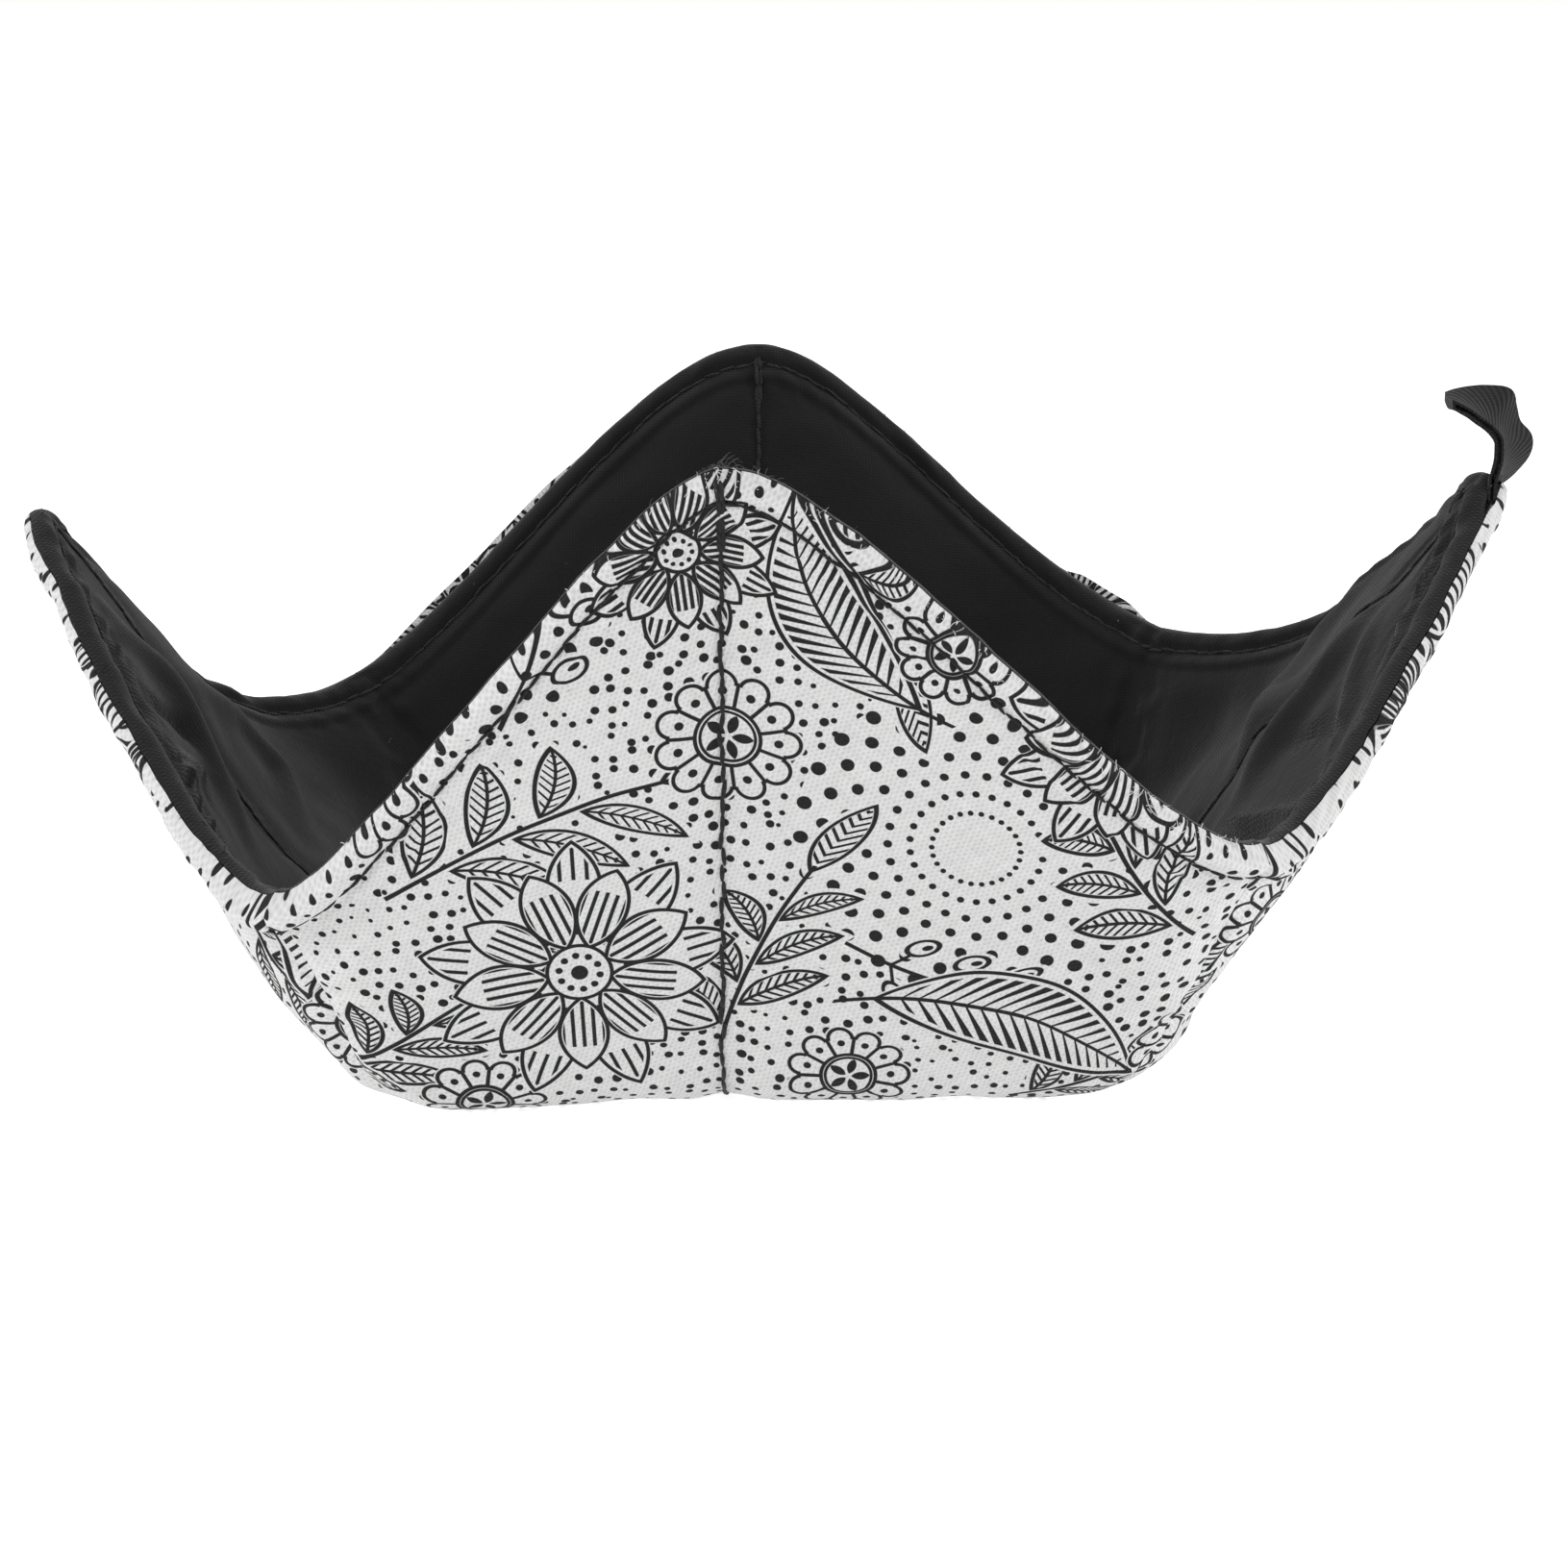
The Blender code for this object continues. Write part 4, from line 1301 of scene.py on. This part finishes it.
def smooth_through(points, steps):
    """Points on the smooth curve through evenly timed ones."""
    points = np.asarray(points)
    padded = np.concatenate([points[:1], points, points[-1:]])
    found = []
    for i in range(len(points) - 1):
        before, start, end, after = padded[i : i + 4]
        for t in np.arange(steps) / steps:
            a, b = start + (end - before) / 6, end - (after - start) / 6
            s = 1 - t
            found.append(start * s**3 + a * 3 * s * s * t + b * 3 * s * t * t + end * t**3)
    return np.array(found + [points[-1]])


def add_hair(bm, path, thick):
    """A three-sided hair of thread along a path."""
    way = Vector(path[1] - path[0]).normalized()
    matrix = Matrix.Translation(Vector(path[0])) @ way.to_track_quat("Z", "Y").to_matrix().to_4x4()
    ring = bmesh.ops.create_circle(bm, cap_ends=True, segments=3, radius=thick / 2, matrix=matrix)["verts"]
    for before, after in zip(path, path[1:]):
        edges = [edge for edge in {e for v in ring for e in v.link_edges} if set(edge.verts) <= set(ring)]
        made = bmesh.ops.extrude_edge_only(bm, edges=edges)["geom"]
        ring = [part for part in made if isinstance(part, bmesh.types.BMVert)]
        bmesh.ops.translate(bm, verts=ring, vec=Vector(after - before))
    bmesh.ops.contextual_create(bm, geom=ring)


def hair_path(start, way, long, curl, rng):
    """A short curling line that leaves a place one way and bends off another."""
    bend = unit(np.cross(way, rng.normal(size=3)))
    lift = np.cross(way, bend)
    angles = np.linspace(0, 1, 6) * curl
    forward = np.sin(angles) / curl
    aside = (1 - np.cos(angles)) / curl
    wiggle = np.sin(angles * 2.3) * 0.12
    return start + (way * forward[:, None] + bend * aside[:, None] + lift * wiggle[:, None]) * long


# The frayed threads: the stretch of the rim from one turn to another, how many, how long in
# millimetres, how far from the seam they root, and whether they are canvas yarn or dark
HAIR_THICK = 0.00011
CURL_LONG, CURL_THICK = 0.0036, 0.00014
FRAYS = (
    (0.46, 0.98, 170, (0.6, 2.0), 0.0004, "pale"),
    (0.05, 0.46, 60, (0.5, 1.4), 0.0004, "pale"),
    (0.02, 0.98, 60, (0.4, 1.1), 0.0002, "dark"),
    (3.45, 3.99, 110, (0.5, 1.2), 0.0006, "dark"),
    (1.01, 1.50, 80, (0.5, 1.2), 0.0006, "dark"),
    (1.50, 3.45, 60, (0.4, 1.1), 0.0004, "dark"),
    (0.488, 0.512, 16, (1.4, 3.2), 0.0003, "grey"),
    (0.40, 0.60, 20, (0.8, 1.8), 0.0003, "grey"),
)


class BOWL_COZY_OT_loose_threads(CozyOperator, bpy.types.Operator):
    """Adds the frayed yarns and the stray thread ends along the rim"""

    bl_idname = "bowl_cozy.loose_threads"
    bl_label = "Loose Threads"

    def execute(self, context):
        for kind, slot in (
            ("pale", "printed_canvas"),
            ("dark", "black_thread"),
            ("grey", "black_thread"),
        ):
            rng = np.random.default_rng(77)
            bm = bmesh.new()
            for start, end, count, longs, root, fray_kind in FRAYS:
                if fray_kind != kind:
                    continue
                turn = rng.uniform(start, end, count)
                inset = rng.uniform(0.0, 2.5, count) * root
                wall = Wall(turn, run_below_rim(turn, inset))
                face = 1 if kind == "pale" else -1
                places = wall.place(face, wall.depth(face) - 0.0001)
                up = unit(rim_edge(turn) - wall_ends(turn)[2])
                leaning = wall.out * rng.uniform(-0.3, 1.0, (count, 1))
                ways = unit(up + leaning + rng.normal(0, 0.5, (count, 3)))
                for place, way in zip(places, ways):
                    long = rng.uniform(*longs) * 0.001
                    path = hair_path(place - way * 0.0003, way, long, rng.uniform(0.5, 2.6), rng)
                    add_hair(bm, path, HAIR_THICK)
            if kind == "pale":
                turn = np.array([0.60])
                tip = Wall(turn, run_below_rim(turn, np.array([0.0003])))
                start = tip.place(1, tip.depth(1))[0]
                add_hair(bm, hair_path(start, UP, CURL_LONG, 3.8, rng), CURL_THICK)
            made = shown("fine_%s_frays" % kind, bm, finish_named(kind + "_yarn"))
        return {"FINISHED"}


def plain_yarn(name, base):
    made, finish, shader = new_finish(name, 0.9, 0.2, 0.2)
    place = finish.node("TexCoord").outputs["Object"]
    uneven = finish.noise(place, 1200.0, 1.0)
    finish.feed(
        shader.inputs["Base Color"], finish.blend(uneven, (*[c * 0.8 for c in base], 1), (*base, 1))
    )
    return made


class BOWL_COZY_OT_stage(CozyOperator, bpy.types.Operator):
    """Sets out the pale floor, the soft lamps, the white surround and the camera"""

    bl_idname = "bowl_cozy.stage"
    bl_label = "Stage"

    def execute(self, context):
        scene = context.scene
        scene.view_settings.view_transform = "Standard"
        bm = bmesh.new()
        bmesh.ops.create_grid(bm, x_segments=1, y_segments=1, size=3.0)
        mesh = bpy.data.meshes.new("floor")
        bm.to_mesh(mesh)
        bm.free()
        floor = bpy.data.objects.new("floor", mesh)
        scene.collection.objects.link(floor)
        mesh.materials.append(floor_finish())
        surround(scene)
        for name, place, size, power in LAMPS:
            lamp = bpy.data.lights.new(name, "AREA")
            lamp.shape, lamp.size, lamp.energy = "DISK", size, power
            made = bpy.data.objects.new(name, lamp)
            made.location = place
            made.rotation_mode = "QUATERNION"
            made.rotation_quaternion = (Vector((0, 0, 0.05)) - Vector(place)).to_track_quat("-Z", "Y")
            scene.collection.objects.link(made)
        scene.camera = fitted_camera(scene)
        return {"FINISHED"}


# The lamps: where each stands, how wide its disk is and its power
LAMPS = (
    ("key_lamp", (-0.9, -1.5, 1.5), 1.1, 16.0),
    ("fill_lamp", (1.3, -1.2, 0.9), 1.2, 7.0),
    ("top_lamp", (0.0, 0.5, 1.9), 1.2, 7.0),
    ("left_lamp", (-1.5, -0.1, 0.35), 0.8, 8.0),
    ("right_lamp", (1.5, -0.1, 0.35), 0.8, 8.0),
)


def seen_directly(finish):
    """One for the camera's own rays and for those by way of gloss or glass."""
    rays = finish.node("LightPath").outputs
    seen = finish.term(rays["Is Camera Ray"]).most(rays["Is Glossy Ray"])
    return seen.most(rays["Is Transmission Ray"])


def floor_finish():
    made, finish, shader = new_finish("pale_floor", 0.9, 0.0, 0.1)
    shader.inputs["Base Color"].default_value = (*colours().floor, 1)
    shader.inputs["Emission Color"].default_value = (1, 1, 1, 1)
    finish.feed(shader.inputs["Emission Strength"], seen_directly(finish) * 0.36 + 0.38)
    return made


def surround(scene):
    """A white surround that lights the cozy only softly."""
    world = bpy.data.worlds.new("white_surround")
    world.use_nodes = True
    scene.world = world
    finish = Finish(world.node_tree)
    background = world.node_tree.nodes["Background"]
    background.inputs["Color"].default_value = (1, 1, 1, 1)
    finish.feed(background.inputs["Strength"], seen_directly(finish) * 0.74 + 0.26)


# The camera's fit to the photograph: its turn, height angle and roll in degrees, its distance and
# aim in metres and its lens in millimetres
CAMERA = {"turn": 1.26, "height": 13.06, "roll": -1.22, "distance": 0.605, "lens": 85.21}
CAMERA_AIM = (0.0019, 0.0, 0.0370)


def fitted_camera(scene):
    data = bpy.data.cameras.new("camera")
    data.sensor_width, data.lens = 36.0, CAMERA["lens"]
    data.clip_start, data.clip_end = 0.01, 20.0
    camera = bpy.data.objects.new("camera", data)
    turn, height = math.radians(CAMERA["turn"]), math.radians(CAMERA["height"])
    back = Vector(
        (math.sin(turn) * math.cos(height), -math.cos(turn) * math.cos(height), math.sin(height))
    )
    right = Vector((math.cos(turn), math.sin(turn), 0))
    up = back.cross(right)
    roll = math.radians(CAMERA["roll"])
    side = right * math.cos(roll) + up * math.sin(roll)
    top = up * math.cos(roll) - right * math.sin(roll)
    matrix = Matrix((side, top, back)).transposed().to_4x4()
    matrix.translation = Vector(CAMERA_AIM) + back * CAMERA["distance"]
    camera.matrix_world = matrix
    scene.collection.objects.link(camera)
    return camera


class BOWL_COZY_PT_pieces(bpy.types.Panel):
    """Lists the cozy's sizes, colours and pieces"""

    bl_idname = "BOWL_COZY_PT_pieces"
    bl_label = "Bowl Cozy"
    bl_space_type = "VIEW_3D"
    bl_region_type = "UI"
    bl_category = "Bowl Cozy"

    def draw(self, context):
        for settings in (context.scene.bowl_cozy_sizes, context.scene.bowl_cozy_colours):
            box = self.layout.box()
            for name in settings.__annotations__:
                box.prop(settings, name)
        for made in PIECES:
            self.layout.operator(made.bl_idname)


PIECES = (
    BOWL_COZY_OT_outer_cover,
    BOWL_COZY_OT_lining_cover,
    BOWL_COZY_OT_battings,
    BOWL_COZY_OT_rim_topstitches,
    BOWL_COZY_OT_quilting,
    BOWL_COZY_OT_hanging_loop,
    BOWL_COZY_OT_loose_threads,
    BOWL_COZY_OT_stage,
)
CLASSES = (ClothSizes, ClothColours, *PIECES, BOWL_COZY_PT_pieces)


def register():
    for made in CLASSES:
        bpy.utils.register_class(made)
    bpy.types.Scene.bowl_cozy_sizes = PointerProperty(type=ClothSizes)
    bpy.types.Scene.bowl_cozy_colours = PointerProperty(type=ClothColours)


def unregister():
    del bpy.types.Scene.bowl_cozy_colours
    del bpy.types.Scene.bowl_cozy_sizes
    for made in reversed(CLASSES):
        bpy.utils.unregister_class(made)


def main():
    register()
    for made in PIECES:
        group, name = made.bl_idname.split(".")
        getattr(getattr(bpy.ops, group), name)()


if __name__ == "__main__":
    main()
